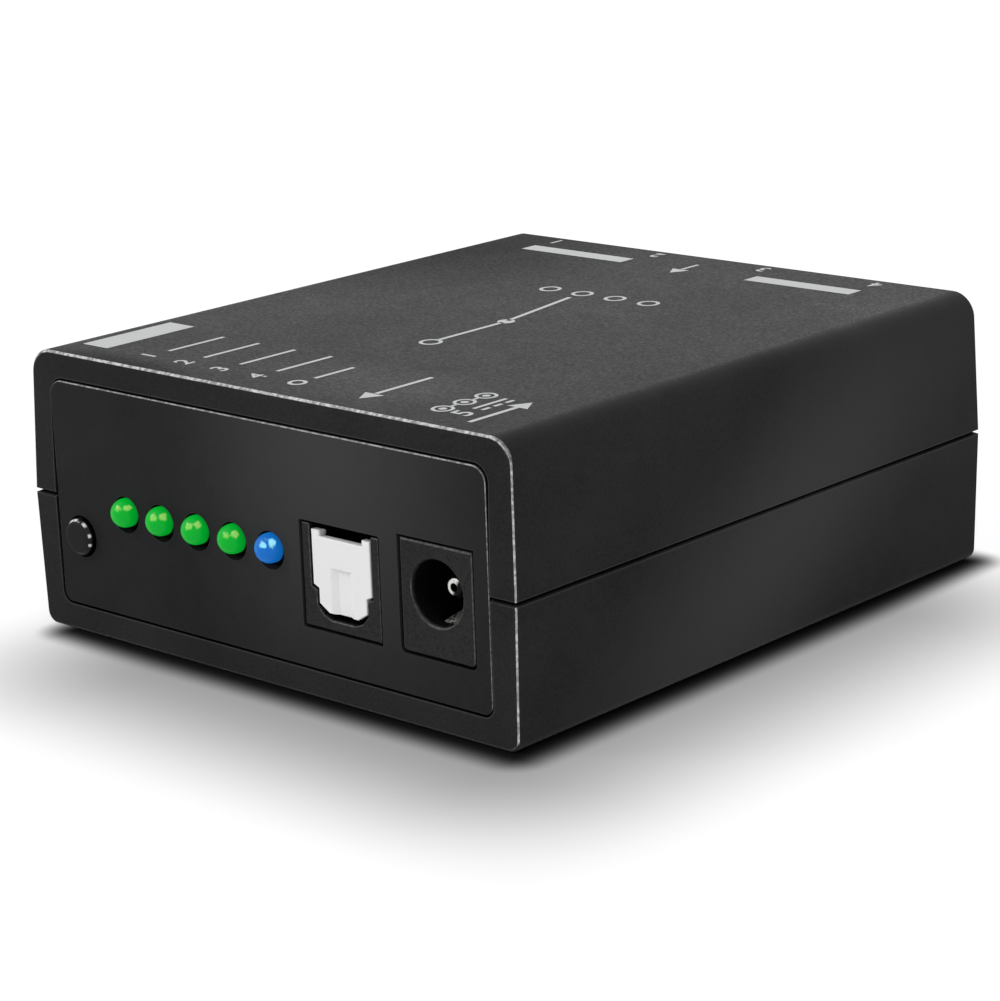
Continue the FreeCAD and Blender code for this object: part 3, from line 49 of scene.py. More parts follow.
# Places that finishes and marks go by
def middle(node):
    """The middle of a CAD node's box."""
    low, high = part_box(node)
    return Vector([(least + most) / 2 for least, most in zip(low, high)])


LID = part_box("top_cover")[1].z
GROOVE_Z = 14.38 * MM
LAMPS_X = [middle(node).x for node in ("led_1", "led_2", "led_3", "led_4", "led_auto")]
LAMP_PITCH = LAMPS_X[1] - LAMPS_X[0]
LAMP_RADIUS = 1.5 * MM
DOME_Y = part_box("led_1")[0].y + LAMP_RADIUS
DOME_Z = middle("led_1").z
PORTS_X = [middle(f"input_port_{place}_housing").x for place in range(1, 5)]
OUTPUT_X = middle("output_port_housing").x


# Shader nodes
def add_node(tree, kind, links=None, **settings):
    """A node with its settings, and its inputs given as values or linked to other sockets."""
    node = tree.nodes.new(kind)
    for name, value in settings.items():
        setattr(node, name, value)
    for name, source in (links or {}).items():
        if isinstance(source, bpy.types.NodeSocket):
            tree.links.new(source, node.inputs[name])
        else:
            node.inputs[name].default_value = source
    return node


def object_place(tree):
    """The place on the piece, in Object coordinates."""
    return add_node(tree, "ShaderNodeTexCoord").outputs["Object"]


def surface_normal(tree):
    return add_node(tree, "ShaderNodeNewGeometry").outputs["Normal"]


def split_axes(tree, vector):
    return add_node(tree, "ShaderNodeSeparateXYZ", {0: vector}).outputs


def calculate(tree, operation, first, second=0.0, third=0.0, clamp=False):
    inputs = {0: first, 1: second, 2: third}
    return add_node(tree, "ShaderNodeMath", inputs, operation=operation, use_clamp=clamp).outputs[0]


def multiply(tree, value, *factors):
    for factor in factors:
        value = calculate(tree, "MULTIPLY", value, factor)
    return value


def reverse(tree, mask):
    """Full where a mask is empty, and empty where it is full."""
    return calculate(tree, "SUBTRACT", 1.0, mask)


def distance_along(tree, place, origin):
    """How far a place is from an origin, either way along one axis."""
    return calculate(tree, "ABSOLUTE", calculate(tree, "SUBTRACT", place, origin))


def calculate_vector(tree, operation, first, second=(0.0, 0.0, 0.0)):
    node = add_node(tree, "ShaderNodeVectorMath", {0: first, 1: second}, operation=operation)
    return node.outputs["Vector"]


def measure(tree, operation, first, second=(0.0, 0.0, 0.0)):
    """One number from one or two vectors."""
    node = add_node(tree, "ShaderNodeVectorMath", {0: first, 1: second}, operation=operation)
    return node.outputs["Value"]


def remap(tree, value, low, high, new_low=0.0, new_high=1.0, smooth=False):
    """The span from low to high carried over to a new one, and held at its ends."""
    limits = {"Value": value, "From Min": low, "From Max": high, "To Min": new_low, "To Max": new_high}
    course = "SMOOTHSTEP" if smooth else "LINEAR"
    return add_node(tree, "ShaderNodeMapRange", limits, interpolation_type=course).outputs["Result"]


def add_noise(tree, place, scale, detail, roughness=0.5):
    """Cloudy noise between 0 and 1."""
    inputs = {"Vector": place, "Scale": scale, "Detail": detail, "Roughness": roughness}
    return add_node(tree, "ShaderNodeTexNoise", inputs).outputs[0]


def add_cells(tree, place, scale):
    """The distance to the nearest of many scattered points."""
    return add_node(tree, "ShaderNodeTexVoronoi", {"Vector": place, "Scale": scale}).outputs["Distance"]


def blend_colours(tree, share, first, second):
    """The first colour, fading to the second as the share goes from 0 to 1."""
    return add_node(tree, "ShaderNodeMix", {0: share, 6: first, 7: second}, data_type="RGBA").outputs[2]


def grey(level):
    return (level, level, level)


def opaque(colour, level=1.0):
    """A colour brought to a level, with full alpha."""
    return (*[part * level for part in colour], 1.0)


# Shared effects
def new_effect(name, inputs, *outputs):
    """A node group with named inputs at their usual values and named outputs, not joined yet."""
    tree = bpy.data.node_groups.new(name, "ShaderNodeTree")
    for label, value in inputs.items():
        kind = "NodeSocketVector" if isinstance(value, tuple) else "NodeSocketFloat"
        socket = tree.interface.new_socket(label, in_out="INPUT", socket_type=kind)
        socket.default_value = value
    for label in outputs:
        tree.interface.new_socket(label, in_out="OUTPUT", socket_type="NodeSocketFloat")
    return tree, tree.nodes.new("NodeGroupInput").outputs, tree.nodes.new("NodeGroupOutput").inputs


def make_moulded_grain():
    """The fine spark-eroded texture of a moulding, and broad unevenness of its tone."""
    tree, given, result = new_effect("moulded_grain", {"Grain Scale": 4000.0, "Tone Scale": 60.0},
                                     "Height", "Tone")
    place = object_place(tree)
    bumps = add_noise(tree, place, given["Grain Scale"], 2.0, 0.55)
    pits = multiply(tree, add_cells(tree, place, given["Grain Scale"]), 0.6)
    tree.links.new(calculate(tree, "ADD", bumps, pits), result["Height"])
    tree.links.new(add_noise(tree, place, given["Tone Scale"], 4.0, 0.6), result["Tone"])
    return tree


def make_edge_polish():
    """A mask of edges, where handling and the mould leave plastic smoother, and which get a painted
    highlight.
    """
    tree, given, result = new_effect("edge_highlight_and_polish", {"Radius": 0.2 * MM, "Gain": 4.0}, "Mask")
    rounded = add_node(tree, "ShaderNodeBevel", {"Radius": given["Radius"]}, samples=6).outputs[0]
    alike = measure(tree, "DOT_PRODUCT", rounded, surface_normal(tree))
    bent = calculate(tree, "MULTIPLY", reverse(tree, alike), given["Gain"], clamp=True)
    tree.links.new(bent, result["Mask"])
    return tree


def make_rounding_line():
    """A mask for a painted highlight along the rounded edges at the front and rear.

    It is thinner and fainter where an edge turns a corner, and leaves out the groove between the shells.
    """
    tree, given, result = new_effect("rounding_highlight", {"Start": 0.01, "Full": 0.06}, "Mask")
    place = object_place(tree)
    normal = surface_normal(tree)
    facing = split_axes(tree, calculate_vector(tree, "ABSOLUTE", normal))
    flattest = calculate(tree, "MAXIMUM", facing["X"], facing["Y"])
    flattest = calculate(tree, "MAXIMUM", flattest, facing["Z"])
    narrowed = multiply(tree, remap(tree, facing["X"], 0.15, 0.35), 0.07)
    rounding = calculate(tree, "SUBTRACT", reverse(tree, flattest), narrowed)
    line = remap(tree, rounding, given["Start"], given["Full"])
    front_or_rear = remap(tree, facing["Y"], 0.12, 0.25)
    not_below = remap(tree, split_axes(tree, normal)["Z"], -0.3, -0.1)
    from_groove = distance_along(tree, split_axes(tree, place)["Z"], GROOVE_Z)
    off_groove = calculate(tree, "MAXIMUM", remap(tree, from_groove, 0.5 * MM, 0.7 * MM),
                           remap(tree, facing["Z"], 0.5, 0.3))
    corner = remap(tree, multiply(tree, facing["X"], facing["Z"]), 0.04, 0.2, 1.0, 0.4)
    # Noise breaks up the painted highlight unevenly
    worn = remap(tree, add_noise(tree, place, 2200.0, 2.0), 0.38, 0.62, 0.4, 1.0)
    tree.links.new(multiply(tree, line, front_or_rear, not_below, off_groove, corner, worn), result["Mask"])
    return tree


def make_crevice():
    """A mask of joins and narrow gaps, which get painted shade where light does not reach."""
    tree, given, result = new_effect("crevice_shade", {"Reach": 0.35 * MM}, "Mask")
    openness = add_node(tree, "ShaderNodeAmbientOcclusion", {"Distance": given["Reach"]}, samples=6)
    tree.links.new(remap(tree, openness.outputs["AO"], 0.35, 0.8, 1.0, 0.0), result["Mask"])
    return tree


def make_soft_patch():
    """A mask that fades smoothly round a centre.

    Stretch is one over its reach along each axis, and Lean moves it back as it rises.
    """
    tree, given, result = new_effect(
        "soft_patch", {"Centre": (0.0, 0.0, 0.0), "Stretch": (1.0, 1.0, 1.0), "Lean": 0.0}, "Mask")
    place = object_place(tree)
    back = multiply(tree, split_axes(tree, place)["Z"], given["Lean"])
    leaning = add_node(tree, "ShaderNodeCombineXYZ", {"Y": back}).outputs[0]
    upright = calculate_vector(tree, "SUBTRACT", place, leaning)
    away = calculate_vector(tree, "SUBTRACT", upright, given["Centre"])
    reach = measure(tree, "LENGTH", calculate_vector(tree, "MULTIPLY", away, given["Stretch"]))
    tree.links.new(remap(tree, reach, 0.0, 1.0, 1.0, 0.0, smooth=True), result["Mask"])
    return tree


def make_off_axis():
    """A mask of what is off an axis that runs front to back: 0 within one radius and 1 beyond another."""
    tree, given, result = new_effect(
        "off_axis", {"Centre": (0.0, 0.0, 0.0), "Within": 1.0 * MM, "Beyond": 1.2 * MM}, "Mask")
    flattened = calculate_vector(tree, "MULTIPLY", object_place(tree), (1.0, 0.0, 1.0))
    reach = measure(tree, "DISTANCE", flattened, given["Centre"])
    tree.links.new(remap(tree, reach, given["Within"], given["Beyond"]), result["Mask"])
    return tree


def make_settled_dust():
    """Sparse specks and a thin film on what faces up."""
    tree, given, result = new_effect("settled_dust", {"Amount": 0.1}, "Mask")
    place = object_place(tree)
    film = remap(tree, add_noise(tree, place, 220.0, 6.0), 0.45, 0.8)
    specks = calculate(tree, "LESS_THAN", add_cells(tree, place, 900.0), 0.07)
    facing_up = remap(tree, split_axes(tree, surface_normal(tree))["Z"], 0.5, 1.0)
    cover = multiply(tree, calculate(tree, "ADD", film, specks), facing_up)
    tree.links.new(calculate(tree, "MULTIPLY", cover, given["Amount"], clamp=True), result["Mask"])
    return tree


def make_drawn_lines():
    """Fine lines along one way, as on drawn, rolled or plated metal, and dull stains."""
    tree, given, result = new_effect("drawn_lines", {"Stretch": (1.0, 1.0, 12.0)}, "Line", "Stain")
    place = object_place(tree)
    stretched = calculate_vector(tree, "MULTIPLY", place, given["Stretch"])
    tree.links.new(add_noise(tree, stretched, 1500.0, 3.0), result["Line"])
    tree.links.new(add_noise(tree, place, 400.0, 3.0), result["Stain"])
    return tree


MOULDED_GRAIN = make_moulded_grain()
EDGE_HIGHLIGHT_AND_POLISH = make_edge_polish()
ROUNDING_HIGHLIGHT = make_rounding_line()
CREVICE_SHADE = make_crevice()
SOFT_PATCH = make_soft_patch()
OFF_AXIS = make_off_axis()
SETTLED_DUST = make_settled_dust()
DRAWN_LINES = make_drawn_lines()


def apply_effect(tree, group, **values):
    """A shared effect placed in a material, with values of its own."""
    node = add_node(tree, "ShaderNodeGroup", node_tree=group)
    for name, value in values.items():
        node.inputs[name.replace("_", " ").title()].default_value = value
    return node.outputs


def outside_circle(tree, centre, within, beyond, across=0.0, up=0.0):
    """The mask of what is outside a circle seen from the front, with all but its centre in millimetres."""
    axis = (centre.x + across * MM, 0, centre.z + up * MM)
    return apply_effect(tree, OFF_AXIS, centre=axis, within=within * MM, beyond=beyond * MM)["Mask"]


# Finishes
SHADER = "Principled BSDF"
# Colours for a painted highlight, for dust, and for painted shade in gaps and in bores
HIGHLIGHT_WHITE = opaque(grey(0.8))
DUST_GREY = (0.35, 0.34, 0.32, 1.0)
GAP_SHADE_BLACK = opaque(grey(0.001))
BORE_SHADE_BLACK = opaque(grey(0.003))
# Most of a noise's values lie in this span
NOISE_SPAN = (0.3, 0.7)


def new_finish(name):
    finish = bpy.data.materials.new(name)
    finish.use_nodes = True
    tree = finish.node_tree
    return finish, tree, tree.nodes[SHADER]


def rough_surface(tree, shader, height, distance, strength=1.0):
    bump = add_node(tree, "ShaderNodeBump", {"Height": height, "Distance": distance, "Strength": strength})
    tree.links.new(bump.outputs["Normal"], shader.inputs["Normal"])


def recolour(finish, mask, colour):
    """Blends one more colour over a finish's own where the mask is full."""
    tree = finish.node_tree
    base = tree.nodes[SHADER].inputs["Base Color"]
    own = base.links[0].from_socket
    tree.links.new(blend_colours(tree, mask, own, opaque(colour)), base)


def moulded_plastic(name, colour, edge_highlight_colour, roughness, grain_scale, grain_depth, sheen=0.5, spread=0.25,
                    edge_radius=0.2 * MM, dust=0.0, speckle=0.0, rounding=0.0, gap_shade=False, patches=(),
                    worn=(), inside=None):
    """Moulded plastic: grain, uneven tone, smoother edges with a painted highlight, a little dust on top.

    Spread is how far the tone strays, and speckle adds fine flecks to it. Rounding paints a highlight along
    the rounded front and rear edges, the gap switch paints shade into narrow gaps, patches paint broad
    lighter sheen into the tone, and worn roughens or smooths broad patches. Inside gives two depths from the
    middle of the
    case: between them a mouth or bore is painted near black as shade.
    """
    finish, tree, shader = new_finish(name)
    place = object_place(tree)
    grain = apply_effect(tree, MOULDED_GRAIN, grain_scale=grain_scale)
    edge = apply_effect(tree, EDGE_HIGHLIGHT_AND_POLISH, radius=edge_radius)["Mask"]
    share = remap(tree, grain["Tone"], *NOISE_SPAN)
    dullness = remap(tree, grain["Tone"], *NOISE_SPAN, roughness - 0.04, roughness + 0.04)
    if speckle:
        flecks = remap(tree, add_noise(tree, place, 3600.0, 1.0), *NOISE_SPAN, -speckle, speckle)
        share = calculate(tree, "ADD", share, flecks)
        dullness = calculate(tree, "ADD", dullness, multiply(tree, flecks, 0.3))
    tone = blend_colours(tree, share, opaque(colour, 1 - spread), opaque(colour, 1 + spread))
    # Broad lighter patches: painted sheen
    for centre, stretch, lean, level in patches:
        mask = apply_effect(tree, SOFT_PATCH, centre=centre, stretch=stretch, lean=lean)["Mask"]
        tone = blend_colours(tree, mask, tone, opaque(grey(level)))
    # Edges painted lighter: a painted highlight
    tone = blend_colours(tree, edge, tone, opaque(edge_highlight_colour))
    # A painted highlight along the rounded front and rear edges
    if rounding:
        line = multiply(tree, apply_effect(tree, ROUNDING_HIGHLIGHT)["Mask"], rounding)
        tone = blend_colours(tree, line, tone, HIGHLIGHT_WHITE)
    if dust:
        tone = blend_colours(tree, apply_effect(tree, SETTLED_DUST, amount=dust)["Mask"], tone, DUST_GREY)
    # Painted shade in narrow gaps
    if gap_shade:
        tone = blend_colours(tree, apply_effect(tree, CREVICE_SHADE)["Mask"], tone, GAP_SHADE_BLACK)
    # Painted shade: a mouth or bore goes near black between the two depths
    if inside:
        depth = calculate(tree, "ABSOLUTE", split_axes(tree, place)["Y"])
        tone = blend_colours(tree, remap(tree, depth, *inside), tone, BORE_SHADE_BLACK)
    tree.links.new(tone, shader.inputs["Base Color"])
    for centre, stretch, change in worn:
        mask = apply_effect(tree, SOFT_PATCH, centre=centre, stretch=stretch)["Mask"]
        dullness = calculate(tree, "ADD", dullness, multiply(tree, mask, change))
    dullness = calculate(tree, "SUBTRACT", dullness, multiply(tree, edge, 0.12))
    tree.links.new(dullness, shader.inputs["Roughness"])
    shader.inputs["Specular IOR Level"].default_value = sheen
    rough_surface(tree, shader, grain["Height"], grain_depth)
    return finish


# Painted glints on the button's rim: how far across and up from its middle, and their reach, in millimetres
BUTTON_GLINTS = ((-0.85, 1.65, 0.65), (-0.2, 1.83, 0.35), (1.05, 1.52, 0.4), (1.78, 0.45, 0.26),
                 (1.75, -0.55, 0.22))


def pressed_plastic(name):
    """The button: a matt face, and a rim that is glossy and painted black as shade on the right, with
    painted glints.
    """
    finish = moulded_plastic(name, grey(0.0195), grey(0.02), 0.45, 2500.0, 0.003 * MM, sheen=0.04,
                             edge_radius=0.1 * MM)
    tree = finish.node_tree
    shader = tree.nodes[SHADER]
    centre = middle("select_button")
    shaded_side = remap(tree, split_axes(tree, surface_normal(tree))["X"], -0.15, 0.15)
    shaded_glossy_rim = multiply(tree, outside_circle(tree, centre, 1.45, 1.6), shaded_side)
    # Painted shade: the rim's right side goes black
    recolour(finish, shaded_glossy_rim, grey(0.001))
    # Painted glints on a thin band of the rim
    glint_band = calculate(tree, "SUBTRACT", outside_circle(tree, centre, 1.7, 1.78),
                         outside_circle(tree, centre, 1.9, 1.96))
    for across, up, reach in BUTTON_GLINTS:
        near = reverse(tree, outside_circle(tree, centre, 0.1, reach, across, up))
        recolour(finish, multiply(tree, near, glint_band), grey(0.85))
    tree.links.new(shaded_glossy_rim, shader.inputs["Coat Weight"])
    shader.inputs["Coat IOR"].default_value = 1.3
    shader.inputs["Coat Roughness"].default_value = 0.07
    return finish


def plated_metal(name, colour, roughness, stretch=(1.0, 1.0, 12.0)):
    """Drawn or plated metal with fine lines and dull stains."""
    finish, tree, shader = new_finish(name)
    lines = apply_effect(tree, DRAWN_LINES, stretch=stretch)
    stained = remap(tree, lines["Stain"], 0.35, 0.7)
    tone = blend_colours(tree, stained, opaque(colour), opaque(colour, 0.7))
    tree.links.new(tone, shader.inputs["Base Color"])
    dullness = remap(tree, lines["Line"], *NOISE_SPAN, roughness - 0.07, roughness + 0.1)
    tree.links.new(dullness, shader.inputs["Roughness"])
    shader.inputs["Metallic"].default_value = 1.0
    rough_surface(tree, shader, lines["Line"], 0.01 * MM, 0.4)
    return finish


INLET_NICKEL = (0.9, 0.89, 0.86)


def drilled_pin(name):
    """The inlet's centre pin: a bright left half round a dimple, with painted shade in the dimple and over
    the right side.
    """
    finish = plated_metal(name, INLET_NICKEL, 0.14)
    tree = finish.node_tree
    centre = middle("power_inlet_pin")
    # Painted shade in the dimple
    recolour(finish, reverse(tree, outside_circle(tree, centre, 0.4, 0.5)), grey(0.003))
    # Painted shade over the right side of the tip
    parts = split_axes(tree, object_place(tree))
    across = calculate(tree, "SUBTRACT", parts["X"], centre.x)
    slant = multiply(tree, calculate(tree, "SUBTRACT", parts["Z"], centre.z), 0.5)
    shaded_side = remap(tree, calculate(tree, "SUBTRACT", across, slant), 0.0, 0.35 * MM)
    recolour(finish, shaded_side, grey(0.01))
    return finish


def scuffed_leaf(name):
    """The inlet's leaf contact: painted dark as shade, with the plating left bright in small flecks that
    stand in for glints.
    """
    finish = plated_metal(name, INLET_NICKEL, 0.55)
    tree = finish.node_tree
    flecks = add_noise(tree, object_place(tree), 2300.0, 3.0)
    # Painted shade over all but small bright flecks
    recolour(finish, remap(tree, flecks, 0.52, 0.4), grey(0.03))
    return finish


# Painted highlights on a lamp: how far across, back and up from the middle of its dome, in millimetres
LAMP_HIGHLIGHTS = ((0.36, -1.24, 0.76), (1.1, -0.58, 0.84))


def lit_resin(name, body, glow, highlight_colour, reach):
    """Tinted lamp resin, lit in its dome, with two painted highlights on it and painted shade behind the
    dome.
    """
    finish, tree, shader = new_finish(name)
    place = object_place(tree)
    parts = split_axes(tree, place)
    from_first = calculate(tree, "SUBTRACT", parts["X"], LAMPS_X[0])
    across = calculate(tree, "WRAP", from_first, LAMP_PITCH / 2, -LAMP_PITCH / 2)
    in_lamp = add_node(tree, "ShaderNodeCombineXYZ", {0: across, 1: parts["Y"], 2: parts["Z"]}).outputs[0]
    ragged = remap(tree, add_noise(tree, place, 1900.0, 1.0), *NOISE_SPAN, -0.16 * MM, 0.16 * MM)
    highlight = 0.0
    # Two painted highlights with ragged edges
    for x, y, z in LAMP_HIGHLIGHTS:
        spot = (x * MM, DOME_Y + y * MM, DOME_Z + z * MM)
        away = calculate(tree, "ADD", measure(tree, "DISTANCE", in_lamp, spot), ragged)
        highlight = calculate(tree, "ADD", remap(tree, away, reach, reach - 0.22 * MM), highlight, clamp=True)
    lit = blend_colours(tree, highlight, opaque(glow), opaque(highlight_colour))
    dome = remap(tree, parts["Y"], DOME_Y + 0.5 * MM, DOME_Y + 0.3 * MM)
    swirl = add_noise(tree, place, 500.0, 2.0)
    share = multiply(tree, dome, remap(tree, swirl, 0.2, 0.8, 0.88, 1.0))
    tree.links.new(blend_colours(tree, share, opaque(grey(0.0)), lit), shader.inputs["Emission Color"])
    # Painted shade: behind the dome the resin is darkened to a tenth
    tree.links.new(blend_colours(tree, dome, opaque(body, 0.1), opaque(body)), shader.inputs["Base Color"])
    tree.links.new(remap(tree, swirl, 0.2, 0.8, 0.16, 0.24), shader.inputs["Roughness"])
    shader.inputs["Emission Strength"].default_value = 0.8
    shader.inputs["Specular IOR Level"].default_value = 0.15
    return finish


def coated_laminate(name):
    """Green solder resist over copper tracks that run under it as a slightly lighter, raised pattern."""
    finish, tree, shader = new_finish(name)
    place = object_place(tree)
    tracks = add_node(tree, "ShaderNodeTexBrick", {"Vector": place, "Scale": 260.0, "Mortar Size": 0.09,
                                                   "Brick Width": 1.7, "Row Height": 0.33}).outputs["Fac"]
    weave = add_noise(tree, place, 900.0, 3.0)
    resist = blend_colours(tree, tracks, (0.012, 0.085, 0.035, 1.0), (0.03, 0.17, 0.07, 1.0))
    resist = blend_colours(tree, remap(tree, weave, 0.4, 0.9), resist, (0.01, 0.05, 0.02, 1.0))
    tree.links.new(resist, shader.inputs["Base Color"])
    tree.links.new(remap(tree, weave, *NOISE_SPAN, 0.25, 0.4), shader.inputs["Roughness"])
    rough_surface(tree, shader, tracks, 0.03 * MM, 0.6)
    return finish


def printed_ink(name, colour):
    """Pad-printed ink: thin and slightly broken by the grain under it."""
    finish, tree, shader = new_finish(name)
    grain = apply_effect(tree, MOULDED_GRAIN, grain_scale=5200.0, tone_scale=300.0)
    cover = remap(tree, grain["Height"], 0.35, 0.62)
    tone = blend_colours(tree, cover, opaque(colour, 0.62), opaque(colour))
    tree.links.new(tone, shader.inputs["Base Color"])
    tree.links.new(remap(tree, grain["Tone"], *NOISE_SPAN, 0.45, 0.6), shader.inputs["Roughness"])
    shader.inputs["Specular IOR Level"].default_value = 0.25
    rough_surface(tree, shader, grain["Height"], 0.012 * MM)
    return finish


# Painted sheen, broad lighter patches of the tone: centre, stretch, lean and grey level
SIDE_SHEEN = ((33.5 * MM, -10.5 * MM, 7 * MM), (50, 35, 28), 1.15, 0.05)
PANEL_SHEEN = ((9.5 * MM, -37.4 * MM, 26 * MM), (40, 5, 34), 0.0, 0.05)
# Broad changes of roughness on the lid: centre, stretch and amount
LID_WEAR = (((-33 * MM, 28 * MM, LID), (33, 28, 60), 0.2),
            ((-20 * MM, -37.5 * MM, LID), (60, 220, 60), 0.25),
            ((8 * MM, -28 * MM, LID), (50, 110, 60), -0.08))
# Colour, roughness and, where the metal isn't drawn along one way, the stretch of its lines
NOT_DRAWN = (1.0, 1.0, 1.0)
METALS = {
    "tinned_steel": ((0.62, 0.62, 0.6), 0.35),
    "bracket_steel": ((0.58, 0.58, 0.57), 0.3),
    "screw_steel": ((0.06, 0.06, 0.065), 0.38, NOT_DRAWN),
    "spring_steel": (grey(0.5), 0.3),
    "contact_nickel": ((0.75, 0.73, 0.68), 0.16),
    "solder": (grey(0.7), 0.25, NOT_DRAWN),
    "can_aluminium": ((0.75, 0.75, 0.77), 0.3),
    "crystal_steel": ((0.7, 0.7, 0.69), 0.28),
}
# Colour, colour of the edges' painted highlight, roughness, grain scale and grain depth
INNER_MOULDINGS = {
    "optic_epoxy": ((0.05, 0.012, 0.012), (0.09, 0.03, 0.03), 0.2, 2500.0, 0.004 * MM),
    "switch_plastic": (grey(0.03), grey(0.06), 0.5, 4000.0, 0.015 * MM),
    "chip_plastic": ((0.02, 0.02, 0.021), grey(0.05), 0.6, 5000.0, 0.02 * MM),
    "can_base_plastic": (grey(0.02), grey(0.05), 0.5, 4000.0, 0.015 * MM),
    "resistor_ceramic": ((0.03, 0.03, 0.035), grey(0.3), 0.45, 5000.0, 0.015 * MM),
    "capacitor_ceramic": ((0.42, 0.3, 0.18), (0.5, 0.42, 0.3), 0.5, 5000.0, 0.015 * MM),
}
FINISHES = {
    "case_plastic": moulded_plastic(
        "case_plastic", (0.0205, 0.0205, 0.021), grey(0.075), 0.42, 4600.0, 0.012 * MM, sheen=0.04,
        edge_radius=0.28 * MM, dust=0.03, speckle=0.35, rounding=0.9, gap_shade=True, patches=(SIDE_SHEEN,),
        worn=LID_WEAR),
    "panel_plastic": moulded_plastic(
        "panel_plastic", (0.019, 0.019, 0.0195), grey(0.05), 0.5, 9000.0, 0.008 * MM, sheen=0.04,
        edge_radius=0.16 * MM, speckle=0.2, rounding=0.55, gap_shade=True, patches=(PANEL_SHEEN,)),
    "socket_plastic": moulded_plastic(
        "socket_plastic", grey(0.021), grey(0.05), 0.5, 6000.0, 0.012 * MM, sheen=0.08,
        edge_radius=0.06 * MM, speckle=0.9, rounding=0.13, gap_shade=True, inside=(37.12 * MM, 36.85 * MM)),
    "shutter_plastic": moulded_plastic(
        "shutter_plastic", grey(0.94), grey(0.95), 0.45, 3000.0, 0.006 * MM, spread=0.01,
        edge_radius=0.1 * MM),
    "button_plastic": pressed_plastic("button_plastic"),
    "lamp_green": lit_resin(
        "lamp_green", (0.0, 0.28, 0.015), (0.0, 0.28, 0.022), (0.32, 0.58, 0.13), 0.43 * MM),
    "lamp_blue": lit_resin(
        "lamp_blue", (0.002, 0.09, 0.36), (0.005, 0.107, 0.366), (0.37, 0.95, 0.95), 0.49 * MM),
    "board_laminate": coated_laminate("board_laminate"),
    **{name: plated_metal(name, *values) for name, values in METALS.items()},
    **{name: moulded_plastic(name, *values) for name, values in INNER_MOULDINGS.items()},
}
NODE_FINISHES = {
    "power_inlet_pin": drilled_pin("pin_nickel"),
    "power_inlet_leaf": scuffed_leaf("leaf_nickel"),
}
MARK_INK = printed_ink("mark_ink", (0.62, 0.63, 0.63))
LABEL_FILM = moulded_plastic("label_film", (0.5, 0.5, 0.49), (0.62, 0.62, 0.6), 0.34, 2600.0, 0.004 * MM,
                             spread=0.05)


def dress(piece, finish):
    piece.data.materials.clear()
    piece.data.materials.append(finish)


for subpart in frame["record"]["subparts"]:
    finish = NODE_FINISHES.get(subpart["node"], FINISHES[subpart["material_slot"]])
    dress(frame["nodes"][subpart["node"]], finish)

# Marks printed on the lid, as thin flat pieces just above it
INK = 0.02 * MM
# The width of an arrow's shaft, and the radius of its three-sided head
SHAFT = 0.55 * MM
ARROW_HEAD = 1.45 * MM
# Turns of the arrow heads, and of the numerals: tops to the left at the front, read from behind at the rear
POINT_BACK = 0.0
POINT_FRONT = math.pi
FRONT_READING = -math.pi / 2
REAR_READING = math.pi


def deselect_all():
    bpy.ops.object.select_all(action="DESELECT")


def select_mesh():
    bpy.ops.object.mode_set(mode="EDIT")
    bpy.ops.mesh.select_all(action="SELECT")


def shape_piece(name, scale=(1, 1, 1), turn=0.0, move=(0, 0, 0)):
    """Sizes, turns and places the new object's mesh, and leaves the object itself at the origin.

    The turn is clockwise, seen from above.
    """
    piece = bpy.context.object
    piece.name = name
    select_mesh()
    bpy.ops.transform.resize(value=scale, center_override=(0, 0, 0))
    if turn:
        bpy.ops.transform.rotate(value=turn, orient_axis="Z", center_override=(0, 0, 0))
    bpy.ops.transform.translate(value=move)
    bpy.ops.object.mode_set(mode="OBJECT")
    return piece


def print_mark(name, x, y, scale=(1, 1, 1), turn=0.0):
    """Makes the new object a mark on the lid."""
    piece = shape_piece(name, scale, turn, (x, y, LID + INK))
    dress(piece, MARK_INK)
    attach(piece, "case")


def add_bar(name, x, y, width, length, turn=0.0):
    deselect_all()
    bpy.ops.mesh.primitive_plane_add(size=1)
    print_mark(name, x, y, (width, length, 1), turn)


def add_ring(name, x, y, radius, thickness):
    """A flat ring. It has no inside, and recalculated this way its faces point up."""
    deselect_all()
    bpy.ops.mesh.primitive_circle_add(vertices=48, radius=radius)
    select_mesh()
    bpy.ops.mesh.extrude_region()
    inner = 1 - thickness / radius
    bpy.ops.transform.resize(value=(inner, inner, 1), center_override=(0, 0, 0))
    bpy.ops.mesh.select_all(action="SELECT")
    bpy.ops.mesh.normals_make_consistent(inside=True)
    bpy.ops.object.mode_set(mode="OBJECT")
    print_mark(name, x, y)


def add_disc(name, x, y, radius, vertices=32, turn=0.0):
    deselect_all()
    bpy.ops.mesh.primitive_circle_add(vertices=vertices, radius=radius, fill_type="NGON")
    print_mark(name, x, y, turn=turn)


def add_arrow_head(name, x, y, turn, radius=ARROW_HEAD):
    add_disc(name, x, y, radius, 3, turn)


def add_numeral(name, text, x, y, height, turn):
    """A numeral about as tall as the given height, with slightly thickened strokes."""
    size_for_height = 1.4
    deselect_all()
    bpy.ops.object.text_add()
    words = bpy.context.object
    words.data.body = text
    words.data.align_x = "CENTER"
    words.data.align_y = "CENTER"
    words.data.size = height * size_for_height
    words.data.offset = 0.05 * MM
    bpy.ops.object.convert(target="MESH")
    print_mark(name, x, y, turn=turn)


